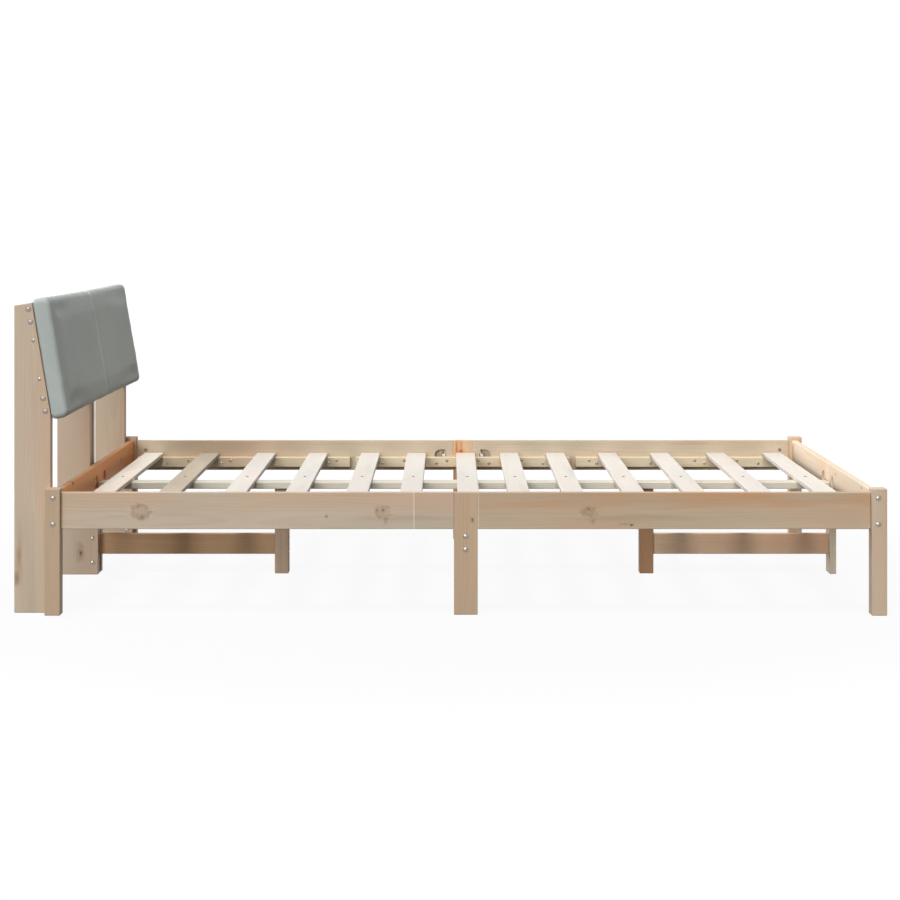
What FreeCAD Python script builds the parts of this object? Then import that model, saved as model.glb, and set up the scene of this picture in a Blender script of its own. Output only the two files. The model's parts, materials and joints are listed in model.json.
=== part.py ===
# Slatted double bed frame in softwood with a leaning padded headboard.
# Millimetres. X runs along the bed with the headboard at -X, Y across it, Z up from the floor.
# The origin is on the floor, under the middle of the whole bed.

import FreeCAD, Part
import Sketcher
import math
import os
import re

DOCUMENT = FreeCAD.newDocument("bed_frame")
SHEET = DOCUMENT.addObject("Spreadsheet::Sheet", "Sizes")
UP = FreeCAD.Vector(0, 0, 1)
ALONG = FreeCAD.Vector(1, 0, 0)
ACROSS = FreeCAD.Vector(0, 1, 0)

# Driving dimensions: name, value, meaning
DRIVING = [
    ("mattress_length", 2000, "length of the mattress well"),
    ("mattress_width", 1200, "width of the mattress well"),
    ("rail_thickness", 18, "thickness of rails and flat legs"),
    ("rail_height", 90, "height of all rails"),
    ("rail_recess", 12, "rails lie this far behind the outer faces of the posts"),
    ("rail_drop", 10, "rail top below post top"),
    ("post_size", 38, "side of the square posts and support legs"),
    ("post_height", 310, "height of the corner posts"),
    ("leg_width", 58, "width of the flat middle legs"),
    ("edge_radius", 2, "rounding of all sawn edges"),
    ("ledger_height", 30, "height of the ledger battens"),
    ("ledger_thickness", 22, "thickness of the ledger battens"),
    ("ledger_drop", 49, "ledger top below rail top"),
    ("ledger_middle_length", 650, "length of the batten that bridges the middle leg"),
    ("ledger_gap", 17, "gap between battens in a row"),
    ("ledger_end_gap", 12, "gap between batten and end rail"),
    ("slat_width", 57, "width of a slat"),
    ("slat_thickness", 12, "thickness of a slat"),
    ("slat_end_gap", 3, "gap between slat and side rail"),
    ("slat_pitch_middle", 140, "slat pitch in the middle of the bed"),
    ("slat_pitch_between", 158, "slat pitch between middle and ends"),
    ("slat_pitch_end", 171, "slat pitch towards the ends"),
    ("slat_middle_shift", 8.5, "middle slat lies this far towards the foot"),
    ("beam_width", 60, "width of the centre beam"),
    ("beam_thickness", 18, "thickness of the centre beam"),
    ("notch_clearance", 1, "cross rail clear of the ledgers"),
    ("stretcher_height", 56, "height of the stretchers"),
    ("stretcher_tongue", 40, "head stretcher between the middle uprights"),
    ("stretcher_lift", 52, "stretcher above the floor"),
    ("upright_width", 112, "foot of an upright, from back to front"),
    ("upright_thickness", 28, "thickness of an upright"),
    ("upright_height", 764, "front corner of the upright's top"),
    ("upright_clearance", 4, "gap between upright and head rail"),
    ("slant_start", 485, "height where the slanted edge begins"),
    ("slant_angle", 9.5, "lean of the headboard in degrees"),
    ("cushion_rail_width", 58, "width of a cushion rail"),
    ("cushion_rail_thickness", 18, "thickness of a cushion rail"),
    ("cushion_rail_setback", 2, "cushion rail behind the slanted edge"),
    ("cushion_board_thickness", 9, "thickness of the board inside the cushion"),
    ("cushion_board_margin", 12, "cushion wraps this far round its board"),
    ("cushion_thickness", 50, "cushion from back to crown"),
    ("cushion_overhang", 13, "cushion below the slanted edge"),
    ("cushion_rise", 10, "cushion above the slanted edge"),
    ("cushion_crown", 5, "rise of the cushion's face over its rim"),
    ("cushion_corner", 14, "rounding of the cushion's front edges"),
    ("cushion_seam_depth", 4, "depth of the sewn seam"),
    ("cushion_seam_width", 16, "width of the hollow along the seam"),
    ("cushion_gap", 0.3, "gap between cushion and wood"),
    ("bolt_diameter", 6, "shank of the furniture bolts"),
    ("bolt_clearance", 0.4, "bolt hole over the shank"),
    ("head_diameter", 13, "bolt head"),
    ("head_height", 3, "bolt head below the face of the wood"),
    ("head_dome", 2, "bolt head above the face of the wood"),
    ("head_clearance", 1, "counterbore over the head"),
    ("socket_across", 4, "key socket in a bolt head, across its flats"),
    ("socket_depth", 2.2, "depth of the key socket"),
    ("bolt_reach", 34, "bolt beyond the face of the second piece"),
    ("barrel_diameter", 10, "barrel nut"),
    ("barrel_length", 13, "barrel nut"),
    ("barrel_distance", 28, "barrel nut from the end of its piece"),
    ("end_bolt_spread", 32, "end rail bolts above and below the rail's middle"),
    ("side_bolt_spread", 16, "bolts of side rails and narrow rails from their middle"),
    ("cross_bolt_height", 176, "middle of the cross rail's bolts above the floor"),
    ("upright_bolt_height", 65, "middle of the bolts at the foot of the uprights"),
    ("upright_bolt_spread", 33, "those bolts from their middle"),
    ("stud_diameter", 8, "stud through a middle leg"),
    ("recess_radius", 17.5, "round side of a half-moon recess"),
    ("recess_flat", 15, "straight part of a half-moon recess"),
    ("recess_depth", 14, "depth of a half-moon recess"),
    ("recess_wall", 24, "wood between leg and recess"),
    ("nut_plate", 3, "thickness of a half-moon plate"),
    ("nut_radius", 12, "radius of a half-moon plate"),
    ("nut_height", 6.5, "hexagon nut"),
    ("nut_across", 13, "hexagon nut across its flats"),
]

# Places and lengths that follow from the driving dimensions
FOLLOWING = {
    "half_length": "(mattress_length / 2)",
    "half_width": "(mattress_width / 2)",
    "outer_length": "(half_length + rail_thickness + rail_recess)",
    "outer_width": "(half_width + rail_thickness + rail_recess)",
    "post_inner_x": "(outer_length - post_size)",
    "post_inner_y": "(outer_width - post_size)",
    "rail_top": "(post_height - rail_drop)",
    "rail_bottom": "(rail_top - rail_height)",
    "rail_middle": "(rail_top - rail_height / 2)",
    "half_leg": "(leg_width / 2)",
    "ledger_top": "(rail_top - ledger_drop)",
    "ledger_outer_start": "(ledger_middle_length / 2 + ledger_gap)",
    "beam_bottom": "(ledger_top - beam_thickness)",
    "half_rail": "(rail_thickness / 2)",
    "support_place": "(mattress_length / 4)",
    "upright_back": "(half_length - upright_width)",
    "upright_setback": "(rail_thickness + upright_clearance)",
    "lean": "(slant_angle * 1 deg)",
    "slant_length": "((upright_height - slant_start) / cos(lean))",
    "upright_top_depth": "(upright_width - upright_setback - slant_length * sin(lean))",
    "slant_x": "(0 - half_length - upright_setback)",
    "cushion_rail_length": "(post_inner_y - half_rail - 2 * upright_thickness)",
    "cushion_rail_axis": "(cushion_rail_setback + cushion_rail_thickness / 2)",
    "headboard_depth": "(upright_width - rail_thickness - rail_recess - head_dome)",
    "middle_x": "(headboard_depth / 2)",
    "bolt_hole": "(bolt_diameter + bolt_clearance)",
    "head_hole": "(head_diameter + head_clearance)",
    "stud_hole": "(stud_diameter + bolt_clearance)",
}

for row, (name, value, meaning) in enumerate(DRIVING, start=1):
    SHEET.set("A%d" % row, meaning)
    SHEET.set("B%d" % row, str(value))
    SHEET.setAlias("B%d" % row, name)
DOCUMENT.recompute()

ALIASES = {name for name, value, meaning in DRIVING}
WORD = re.compile(r"[a-z][a-z_]*[a-z]")


def bound(text):
    """An expression on the sheet's cells, with the names of FOLLOWING written out."""
    def one_word(match):
        word = match.group(0)
        if word in FOLLOWING:
            return bound(FOLLOWING[word])
        return "Sizes." + word if word in ALIASES else word
    return WORD.sub(one_word, str(text))


class Numbers:
    """The same sizes as plain numbers, for shapes made with Part's own functions."""

    def __getattr__(self, name):
        if name in ALIASES:
            return float(SHEET.get(name))
        raise AttributeError(name)


SIZE = Numbers()


def at(x, y, z):
    """A place on the bed as three texts, with X counted from the middle of the mattress well."""
    return ("%s + middle_x" % x, y, z)


def put(item, place):
    """Bind the base of an object's placement to three texts."""
    for axis, text in zip("xyz", place):
        item.setExpression("Placement.Base." + axis, bound(text))


def sketch_on(body, role, name, lift="0"):
    """A sketch on one of the body's origin planes, lifted along that plane's normal."""
    sketch = body.newObject("Sketcher::SketchObject", name)
    plane = [item for item in body.Origin.OriginFeatures if item.Role == role][0]
    sketch.AttachmentSupport = (plane, [""])
    sketch.MapMode = "FlatFace"
    if lift != "0":
        sketch.setExpression("AttachmentOffset.Base.z", bound(lift))
    return sketch


def constrain(sketch, constraint, text=None):
    """Add a constraint, and bind its size where it has one."""
    index = sketch.addConstraint(constraint)
    if text is not None:
        sketch.setExpression("Constraints[%d]" % index, bound(text))


def outline(sketch, corners, start):
    """A closed outline of straight lines; a corner is a pair of texts, '0' lies on an axis.

    start holds rough numbers for the corners, in the same order, from which the sketch is solved.
    """
    count = len(corners)
    points = [FreeCAD.Vector(x, y, 0) for x, y in start]
    for index in range(count):
        sketch.addGeometry(Part.LineSegment(points[index], points[(index + 1) % count]), False)
    for index in range(count):
        sketch.addConstraint(Sketcher.Constraint("Coincident", index, 2, (index + 1) % count, 1))
    for index, (x, y) in enumerate(corners):
        if x == "0":
            constrain(sketch, Sketcher.Constraint("PointOnObject", index, 1, -2))
        else:
            constrain(sketch, Sketcher.Constraint("DistanceX", -1, 1, index, 1, points[index].x), x)
        if y == "0":
            constrain(sketch, Sketcher.Constraint("PointOnObject", index, 1, -1))
        else:
            constrain(sketch, Sketcher.Constraint("DistanceY", -1, 1, index, 1, points[index].y), y)


def finish_edges(body, pad):
    """Round every edge of a padded board."""
    rounding = body.newObject("PartDesign::Fillet", "Rounding")
    rounding.Base = (pad, [""])
    rounding.UseAllEdges = True
    rounding.setExpression("Radius", bound("edge_radius"))


def board(label, sizes, place):
    """A sawn board with rounded edges; its own origin is its lowest corner."""
    length, width, height = sizes
    body = DOCUMENT.addObject("PartDesign::Body", label)
    body.Label = label
    sketch = sketch_on(body, "XY_Plane", "Section")
    outline(sketch, [("0", "0"), (length, "0"), (length, width), ("0", width)],
            [(0, 0), (100, 0), (100, 50), (0, 50)])
    pad = body.newObject("PartDesign::Pad", "Blank")
    pad.Profile = sketch
    pad.setExpression("Length", bound(height))
    finish_edges(body, pad)
    put(body, place)
    return body


# For each drilling axis: the plane, the lift of its high face per unit and the pocket's turn
DRILLING = {
    ("X", "low"): ("YZ_Plane", "0", True),
    ("X", "high"): ("YZ_Plane", "%s", False),
    ("Y", "low"): ("XZ_Plane", "0", False),
    ("Y", "high"): ("XZ_Plane", "0 - %s", True),
}


def pocket(body, sketch, depth, turned):
    """Cut a sketch into a body, and insist that the cut takes wood away."""
    DOCUMENT.recompute()
    before = body.Shape.Volume
    cut = body.newObject("PartDesign::Pocket", "Cut")
    cut.Profile = sketch
    cut.Reversed = turned
    cut.setExpression("Length", bound(depth))
    DOCUMENT.recompute()
    if body.Shape.Volume >= before:
        raise RuntimeError("a cut in %s takes nothing away" % body.Label)


def drill(body, axis, side, reach, spots, diameter, depth):
    """Drill round holes into one face of a board.

    reach is the board's size along the axis; spots are pairs of texts in the board's own frame.
    """
    role, lift, turned = DRILLING[axis, side]
    sketch = sketch_on(body, role, "Holes", lift % reach if "%s" in lift else lift)
    for first, second in spots:
        circle = sketch.addGeometry(Part.Circle(FreeCAD.Vector(9, 9, 0), UP, 3), False)
        constrain(sketch, Sketcher.Constraint("Diameter", circle, 6.0), diameter)
        constrain(sketch, Sketcher.Constraint("DistanceX", -1, 1, circle, 3, 9.0), first)
        constrain(sketch, Sketcher.Constraint("DistanceY", -1, 1, circle, 3, 9.0), second)
    pocket(body, sketch, depth, turned)


def bolt_holes(body, axis, side, reach, spots):
    """Through holes for bolts, with counterbores for their heads."""
    drill(body, axis, side, reach, spots, "bolt_hole", reach)
    drill(body, axis, side, reach, spots, "head_hole", "head_height")


def spread(middle, amount):
    """Two heights above and below a middle."""
    return ["%s - %s" % (middle, amount), "%s + %s" % (middle, amount)]


# Corner posts

def corner_post(label, end, side):
    """A post drilled for the bolts of its end rail and its side rail."""
    x = "outer_length - post_size" if end > 0 else "0 - outer_length"
    y = "outer_width - post_size" if side > 0 else "0 - outer_width"
    post = board(label, ("post_size", "post_size", "post_height"), at(x, y, "0"))
    low_to_rail = "rail_recess + half_rail"
    high_to_rail = "post_size - rail_recess - half_rail"
    end_rail_x = high_to_rail if end > 0 else low_to_rail
    side_rail_y = high_to_rail if side > 0 else low_to_rail
    bolt_holes(post, "Y", "high" if side > 0 else "low", "post_size",
               [(end_rail_x, z) for z in spread("rail_middle", "end_bolt_spread")])
    bolt_holes(post, "X", "high" if end > 0 else "low", "post_size",
               [(side_rail_y, z) for z in spread("rail_middle", "side_bolt_spread")])
    if end < 0:
        drill(post, "Y", "low" if side > 0 else "high", "post_size",
              [("(rail_thickness + rail_recess) / 2", z)
               for z in spread("upright_bolt_height", "upright_bolt_spread")],
              "bolt_hole", "post_size - edge_radius * 2 - head_height")


ENDS = {"head": -1, "foot": 1}
# Right and left as seen by someone lying in the bed
SIDES = {"right": -1, "left": 1}

for end_name, end in ENDS.items():
    for side_name, side in SIDES.items():
        corner_post("%s_post_%s" % (end_name, side_name), end, side)


# Rails, split in halves at the middle legs

def half_moon(rail, axis, side, flat, round_end):
    """The recess near a rail's middle end: straight towards the leg, round away from it.

    flat and round_end place its straight side and the middle of its round.
    """
    role, lift, turned = DRILLING[axis, side]
    sketch = sketch_on(rail, role, "Straight", lift % "rail_thickness" if "%s" in lift else lift)
    low = "rail_height / 2 - recess_radius"
    high = "rail_height / 2 + recess_radius"
    outline(sketch, [(flat, low), (round_end, low), (round_end, high), (flat, high)],
            [(20, 20), (40, 20), (40, 60), (20, 60)])
    pocket(rail, sketch, "recess_depth", turned)
    drill(rail, axis, side, "rail_thickness", [(round_end, "rail_height / 2")], "2 * recess_radius",
          "recess_depth")


def rail_half(label, axis, length, half, inner_side, place, bolt_spread):
    """Half a rail: bolted to a post at one end, held by a stud at the other.

    axis is the way it runs, half is -1 where the post is at its low end, and inner_side names
    the face that looks into the bed.
    """
    along_x = axis == "X"
    sizes = (length, "rail_thickness", "rail_height") if along_x else \
            ("rail_thickness", length, "rail_height")
    rail = board(label, sizes, place)
    through = "Y" if along_x else "X"
    post_end, leg_end = ("low", "high") if half < 0 else ("high", "low")
    barrel = "barrel_distance" if half < 0 else "%s - barrel_distance" % length
    heights = spread("rail_height / 2", bolt_spread)
    drill(rail, axis, post_end, length, [("half_rail", z) for z in heights],
          "bolt_hole", "bolt_reach + bolt_clearance")
    drill(rail, through, inner_side, "rail_thickness", [(barrel, z) for z in heights],
          "barrel_diameter + bolt_clearance", "half_rail + barrel_length / 2")
    drill(rail, axis, leg_end, length, [("half_rail", "rail_height / 2")], "stud_hole",
          "recess_wall + recess_flat")
    flat = "%s - recess_wall" % length if half < 0 else "recess_wall"
    bow = "%s - recess_wall - recess_flat" % length if half < 0 else "recess_wall + recess_flat"
    half_moon(rail, through, inner_side, flat, bow)


for side_name, side in SIDES.items():
    rail_y = "half_width" if side > 0 else "0 - half_width - rail_thickness"
    for end_name, end in ENDS.items():
        rail_x = "half_leg" if end > 0 else "0 - post_inner_x"
        rail_half("side_rail_%s_%s" % (side_name, end_name), "X", "(post_inner_x - half_leg)", end,
                  "low" if side > 0 else "high", at(rail_x, rail_y, "rail_bottom"),
                  "side_bolt_spread")

for end_name, end in ENDS.items():
    rail_x = "half_length" if end > 0 else "0 - half_length - rail_thickness"
    for side_name, side in SIDES.items():
        rail_y = "half_leg" if side > 0 else "0 - post_inner_y"
        rail_half("%s_rail_%s" % (end_name, side_name), "Y", "(post_inner_y - half_leg)", side,
                  "low" if end > 0 else "high", at(rail_x, rail_y, "rail_bottom"),
                  "end_bolt_spread")


# Flat middle legs, in line with the rails

def flat_leg(label, axis, place, bottom, bolt_height, bolt_side):
    """A flat leg or block between two rail halves, drilled for its stud and for bolts."""
    sizes = ("leg_width", "rail_thickness") if axis == "X" else ("rail_thickness", "leg_width")
    height = "(rail_top - %s)" % bottom
    leg = board(label, sizes + (height,), place)
    drill(leg, axis, "low", "leg_width", [("half_rail", "rail_middle - %s" % bottom)],
          "stud_hole", "leg_width")
    if bolt_height:
        bolt_holes(leg, "Y" if axis == "X" else "X", bolt_side, "rail_thickness",
                   [("half_leg", z) for z in spread(bolt_height, "side_bolt_spread")])


for side_name, side in SIDES.items():
    leg_y = "half_width" if side > 0 else "0 - half_width - rail_thickness"
    flat_leg("side_leg_" + side_name, "X", at("0 - half_leg", leg_y, "0"), "0",
             "cross_bolt_height", "high" if side > 0 else "low")
flat_leg("foot_leg", "Y", at("half_length", "0 - half_leg", "0"), "0",
         "stretcher_lift + stretcher_height / 2", "high")
flat_leg("head_joint_block", "Y", at("0 - half_length - rail_thickness", "0 - half_leg", "rail_bottom"),
         "rail_bottom", None, None)


# Ledger battens and slats

LEDGER_OUTER = "(half_length - ledger_end_gap - ledger_outer_start)"
LEDGERS = {
    "head": ("0 - half_length + ledger_end_gap", LEDGER_OUTER),
    "middle": ("0 - ledger_middle_length / 2", "ledger_middle_length"),
    "foot": ("ledger_outer_start", LEDGER_OUTER),
}
for side_name, side in SIDES.items():
    batten_y = "half_width - ledger_thickness" if side > 0 else "0 - half_width"
    for part_name, (start_x, length) in LEDGERS.items():
        board("ledger_%s_%s" % (side_name, part_name), (length, "ledger_thickness", "ledger_height"),
              at(start_x, batten_y, "ledger_top - ledger_height"))

SLAT_STEPS = ["slat_pitch_middle", "slat_pitch_middle", "slat_pitch_between", "slat_pitch_between",
              "slat_pitch_end", "slat_pitch_end"]
SLAT_REACH = [" + ".join(SLAT_STEPS[:count + 1]) for count in range(len(SLAT_STEPS))]
SLAT_PLACES = ["0 - (%s)" % reach for reach in reversed(SLAT_REACH)] + ["slat_middle_shift"] + SLAT_REACH

for number, place in enumerate(SLAT_PLACES, start=1):
    board("slat_%02d" % number, ("slat_width", "2 * (half_width - slat_end_gap)", "slat_thickness"),
          at("%s - slat_width / 2" % place, "0 - half_width + slat_end_gap", "ledger_top"))


# Centre beam and what carries it

board("centre_beam", ("mattress_length", "beam_width", "beam_thickness"),
      at("0 - half_length", "0 - beam_width / 2", "beam_bottom"))


def end_holes(rail, axis, length, ends, thickness, height):
    """Bolt holes in a rail's ends, each met by a hole for its barrel nut."""
    through = "Y" if axis == "X" else "X"
    for end in ends:
        spots = spread(height, "side_bolt_spread")
        barrel = "barrel_distance" if end == "low" else "%s - barrel_distance" % length
        drill(rail, axis, end, length, [("%s / 2" % thickness, z) for z in spots], "bolt_hole",
              "bolt_reach + bolt_clearance")
        drill(rail, through, "high", thickness, [(barrel, z) for z in spots],
              "barrel_diameter + bolt_clearance", "(%s + barrel_length) / 2" % thickness)


cross_rail = board("cross_rail", ("rail_thickness", "mattress_width", "rail_height"),
                   at("0 - half_rail", "0 - half_width", "beam_bottom - rail_height"))
NOTCH_LENGTH = "ledger_thickness + notch_clearance"
NOTCH_FLOOR = "rail_height - beam_bottom + ledger_top - ledger_height - notch_clearance"
for low_y, high_y in (("0", NOTCH_LENGTH), ("mattress_width - %s" % NOTCH_LENGTH.replace("+", "-"),
                                            "mattress_width")):
    notch = sketch_on(cross_rail, "YZ_Plane", "Notch", "rail_thickness")
    outline(notch, [(low_y, NOTCH_FLOOR), (high_y, NOTCH_FLOOR), (high_y, "rail_height"),
                    (low_y, "rail_height")], [(5, 80), (30, 80), (30, 90), (5, 90)])
    pocket(cross_rail, notch, "rail_thickness", False)
end_holes(cross_rail, "Y", "mattress_width", ("low", "high"), "rail_thickness",
          "(cross_bolt_height - beam_bottom + rail_height)")

STRETCHER = "(half_length - support_place - post_size / 2)"
for end_name, end in ENDS.items():
    leg_x = "support_place" if end > 0 else "0 - support_place"
    leg = board("support_leg_" + end_name, ("post_size", "post_size", "beam_bottom"),
                at("%s - post_size / 2" % leg_x, "0 - post_size / 2", "0"))
    inward = "low" if end > 0 else "high"
    middle = "stretcher_lift + stretcher_height / 2"
    bolt_holes(leg, "X", inward, "post_size",
               [("post_size / 2", z) for z in spread(middle, "side_bolt_spread")])
    stretcher_x = "support_place + post_size / 2" if end > 0 else "0 - half_length - stretcher_tongue"
    length = STRETCHER if end > 0 else "(%s + stretcher_tongue)" % STRETCHER
    stretcher = board("stretcher_" + end_name, (length, "rail_thickness", "stretcher_height"),
                      at(stretcher_x, "0 - half_rail", "stretcher_lift"))
    end_holes(stretcher, "X", length, ("low", "high") if end > 0 else ("high",),
              "rail_thickness", "stretcher_height / 2")
    if end < 0:
        drill(stretcher, "Y", "low", "rail_thickness",
              [("stretcher_tongue - (rail_thickness + rail_recess) / 2",
                "upright_bolt_height + upright_bolt_spread - stretcher_lift")],
              "bolt_hole", "rail_thickness")


# Headboard uprights: a foot under the head rail, a step behind it and a slanted front above

def slant_spots(along):
    """Places of two bolts on an upright, in its own frame, around a point along the slant."""
    spots = []
    for reach in spread(along, "side_bolt_spread"):
        spots.append(("upright_width - upright_setback - cushion_rail_axis * cos(lean) - (%s) * sin(lean)"
                      % reach, "slant_start - cushion_rail_axis * sin(lean) + (%s) * cos(lean)" % reach))
    return spots


LOWER_RAIL = "0"
UPPER_RAIL = "(slant_length - cushion_rail_width - edge_radius)"


def upright(label, low_y, head_side, joined):
    """One upright; head_side is the face where bolt heads lie, joined adds the foot bolts there."""
    body = DOCUMENT.addObject("PartDesign::Body", label)
    body.Label = label
    sketch = sketch_on(body, "XZ_Plane", "Profile")
    front = "upright_width - upright_setback"
    outline(sketch, [("0", "0"), ("upright_width", "0"), ("upright_width", "rail_bottom"),
                     (front, "rail_bottom"), (front, "slant_start"),
                     ("upright_top_depth", "upright_height"),
                     ("0", "upright_height - upright_top_depth * tan(lean)")],
            [(0, 0), (112, 0), (112, 210), (90, 210), (90, 485), (43, 764), (0, 757)])
    pad = body.newObject("PartDesign::Pad", "Blank")
    pad.Profile = sketch
    pad.Reversed = True
    pad.setExpression("Length", bound("upright_thickness"))
    finish_edges(body, pad)
    put(body, at("upright_back - 2 * half_length", low_y, "0"))
    for rail in (LOWER_RAIL, UPPER_RAIL):
        bolt_holes(body, "Y", head_side, "upright_thickness",
                   slant_spots("%s + cushion_rail_width / 2" % rail))
    foot_x = "upright_width + (rail_thickness + rail_recess) / 2 - rail_thickness - rail_recess"
    foot_spots = [(foot_x, z) for z in spread("upright_bolt_height", "upright_bolt_spread")]
    bolt_holes(body, "Y", joined, "upright_thickness", foot_spots)


UPRIGHTS = {
    "upright_right": ("0 - post_inner_y", "low", "high"),
    "upright_middle_right": ("0 - half_rail - upright_thickness", "high", "low"),
    "upright_middle_left": ("half_rail", "low", "high"),
    "upright_left": ("post_inner_y - upright_thickness", "high", "low"),
}
for label, (low_y, head_side, joined) in UPRIGHTS.items():
    upright(label, low_y, head_side, joined)


# Cushion rails, cushion board and cushion, which lean with the slant

def lean_place(outward, along, y):
    """A place on the slant: outward from its plane, along it from its start, and across the bed."""
    return at("slant_x + (%s) * cos(lean) - (%s) * sin(lean)" % (outward, along), y,
              "slant_start + (%s) * sin(lean) + (%s) * cos(lean)" % (outward, along))


def lean_back(item, place):
    """Turn an object to the slant and put it there."""
    item.Placement = FreeCAD.Placement(FreeCAD.Vector(), FreeCAD.Rotation(FreeCAD.Vector(0, -1, 0), 9))
    item.setExpression("Placement.Rotation.Angle", bound("slant_angle"))
    put(item, place)


for side_name, side in SIDES.items():
    rail_y = "half_rail + upright_thickness" if side > 0 else "upright_thickness - post_inner_y"
    for level, along in (("lower", LOWER_RAIL), ("upper", UPPER_RAIL)):
        place = lean_place("0 - cushion_rail_setback - cushion_rail_thickness", along, rail_y)
        rail = board("cushion_rail_%s_%s" % (level, side_name),
                     ("cushion_rail_thickness", "cushion_rail_length", "cushion_rail_width"), place)
        lean_back(rail, place)
        end_holes(rail, "Y", "cushion_rail_length", ("low", "high"), "cushion_rail_thickness",
                  "cushion_rail_width / 2")

CUSHION_HEIGHT = "(slant_length + cushion_overhang + cushion_rise)"
cushion_board = board("cushion_board",
                      ("cushion_board_thickness", "2 * (post_inner_y - cushion_board_margin)",
                       "%s - 2 * cushion_board_margin" % CUSHION_HEIGHT), at("0", "0", "0"))
lean_back(cushion_board, lean_place("0", "cushion_board_margin - cushion_overhang",
                                    "cushion_board_margin - post_inner_y"))


def cushion_section(y, height, front, inset):
    """A closed section of the cushion: flat back, round front edges, bowed face."""
    corner = SIZE.cushion_corner
    bow = SIZE.cushion_crown
    low, high = inset, height - inset
    middle = (low + high) / 2
    slope = corner * (1 - math.sqrt(0.5))

    def point(outward, along):
        return FreeCAD.Vector(outward, y, along)

    back = SIZE.cushion_gap
    rim = front - bow
    edges = [
        Part.LineSegment(point(back, high), point(back, low)),
        Part.LineSegment(point(back, low), point(rim - corner, low)),
        Part.Arc(point(rim - corner, low), point(rim - slope, low + slope), point(rim, low + corner)),
        Part.Arc(point(rim, low + corner), point(front, middle), point(rim, high - corner)),
        Part.Arc(point(rim, high - corner), point(rim - slope, high - slope), point(rim - corner, high)),
        Part.LineSegment(point(rim - corner, high), point(back, high)),
    ]
    return Part.Wire([edge.toShape() for edge in edges])


def cushion_shape():
    """The cushion in its own frame: X outward, Y across, Z along the slant."""
    half_span = SIZE.mattress_width / 2 + SIZE.rail_thickness + SIZE.rail_recess - SIZE.post_size
    height = (SIZE.upright_height - SIZE.slant_start) / math.cos(math.radians(SIZE.slant_angle))
    height += SIZE.cushion_overhang + SIZE.cushion_rise
    corner, full = SIZE.cushion_corner, SIZE.cushion_thickness
    seam, hollow = SIZE.cushion_seam_depth, SIZE.cushion_seam_width / 2
    turn = corner * (1 - math.sqrt(0.5))
    stations = [(0, full - seam, seam / 2), (hollow / 2, full - seam / 4, seam / 8), (hollow, full, 0),
                (half_span - corner, full, 0), (half_span - turn, full - turn, turn / 4),
                (half_span, full - corner, corner / 4)]
    mirrored = [(-y, front, inset) for y, front, inset in reversed(stations[1:])]
    sections = [cushion_section(y, height, front, inset) for y, front, inset in mirrored + stations]
    body = Part.makeLoft(sections, True, True)
    margin = SIZE.cushion_board_margin - SIZE.cushion_gap
    hole = Part.makeBox(SIZE.cushion_board_thickness + SIZE.cushion_gap, 2 * (half_span - margin),
                        height - 2 * margin, FreeCAD.Vector(0, margin - half_span, margin))
    return body.cut(hole)


def shaped(label, shape):
    """A sub-part whose shape comes from Part's own functions."""
    item = DOCUMENT.addObject("Part::Feature", label)
    item.Label = label
    item.Shape = shape
    return item


cushion = shaped("cushion", cushion_shape())
lean_back(cushion, lean_place("0", "0 - cushion_overhang", "0"))


# Fasteners, each kind one group of separate solids

HALF_LENGTH = SIZE.mattress_length / 2
HALF_WIDTH = SIZE.mattress_width / 2
OUTER_LENGTH = HALF_LENGTH + SIZE.rail_thickness + SIZE.rail_recess
OUTER_WIDTH = HALF_WIDTH + SIZE.rail_thickness + SIZE.rail_recess
POST_INNER_X = OUTER_LENGTH - SIZE.post_size
POST_INNER_Y = OUTER_WIDTH - SIZE.post_size
RAIL_MIDDLE = SIZE.post_height - SIZE.rail_drop - SIZE.rail_height / 2
BEAM_BOTTOM = SIZE.post_height - SIZE.rail_drop - SIZE.ledger_drop - SIZE.beam_thickness
HALF_RAIL = SIZE.rail_thickness / 2
MIDDLE_X = (SIZE.upright_width - SIZE.rail_thickness - SIZE.rail_recess - SIZE.head_dome) / 2


def spot(x, y, z):
    """A point on the bed, with X counted from the middle of the mattress well."""
    return FreeCAD.Vector(x + MIDDLE_X, y, z)


def hexagon(start, way, across, height):
    """A six-sided prism along a level direction."""
    corner = across / math.sqrt(3)
    sideways = way.cross(UP)
    points = []
    for step in range(7):
        turn = math.radians(60 * step)
        points.append(start + sideways * (corner * math.sin(turn)) + UP * (corner * math.cos(turn)))
    return Part.Face(Part.makePolygon(points)).extrude(way * height)


def bolt(face, direction, through):
    """A bolt let in at a face point, its head domed; through is its length under that face."""
    radius, dome = SIZE.head_diameter / 2, SIZE.head_dome
    ball = (radius ** 2 + dome ** 2) / (2 * dome)
    latitude = math.degrees(math.asin((ball - dome) / ball))
    cap = Part.makeSphere(ball, face + direction * (ball - dome), direction * -1, latitude, 90, 360)
    head = Part.makeCylinder(radius, SIZE.head_height, face, direction)
    shank = Part.makeCylinder(SIZE.bolt_diameter / 2, through, face, direction)
    socket = hexagon(face - direction * dome, direction, SIZE.socket_across, dome + SIZE.socket_depth)
    return cap.fuse([head, shank]).removeSplitter().cut(socket)


def barrel_nut(centre, axis, bolt_way):
    """A barrel nut with the cross hole for its bolt."""
    start = centre - axis * (SIZE.barrel_length / 2)
    nut = Part.makeCylinder(SIZE.barrel_diameter / 2, SIZE.barrel_length, start, axis)
    reach = SIZE.barrel_diameter
    hole = Part.makeCylinder((SIZE.bolt_diameter + SIZE.bolt_clearance) / 2, 2 * reach,
                             centre - bolt_way * reach, bolt_way)
    return nut.cut(hole)


frame_bolts = []
barrel_nuts = []


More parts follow.
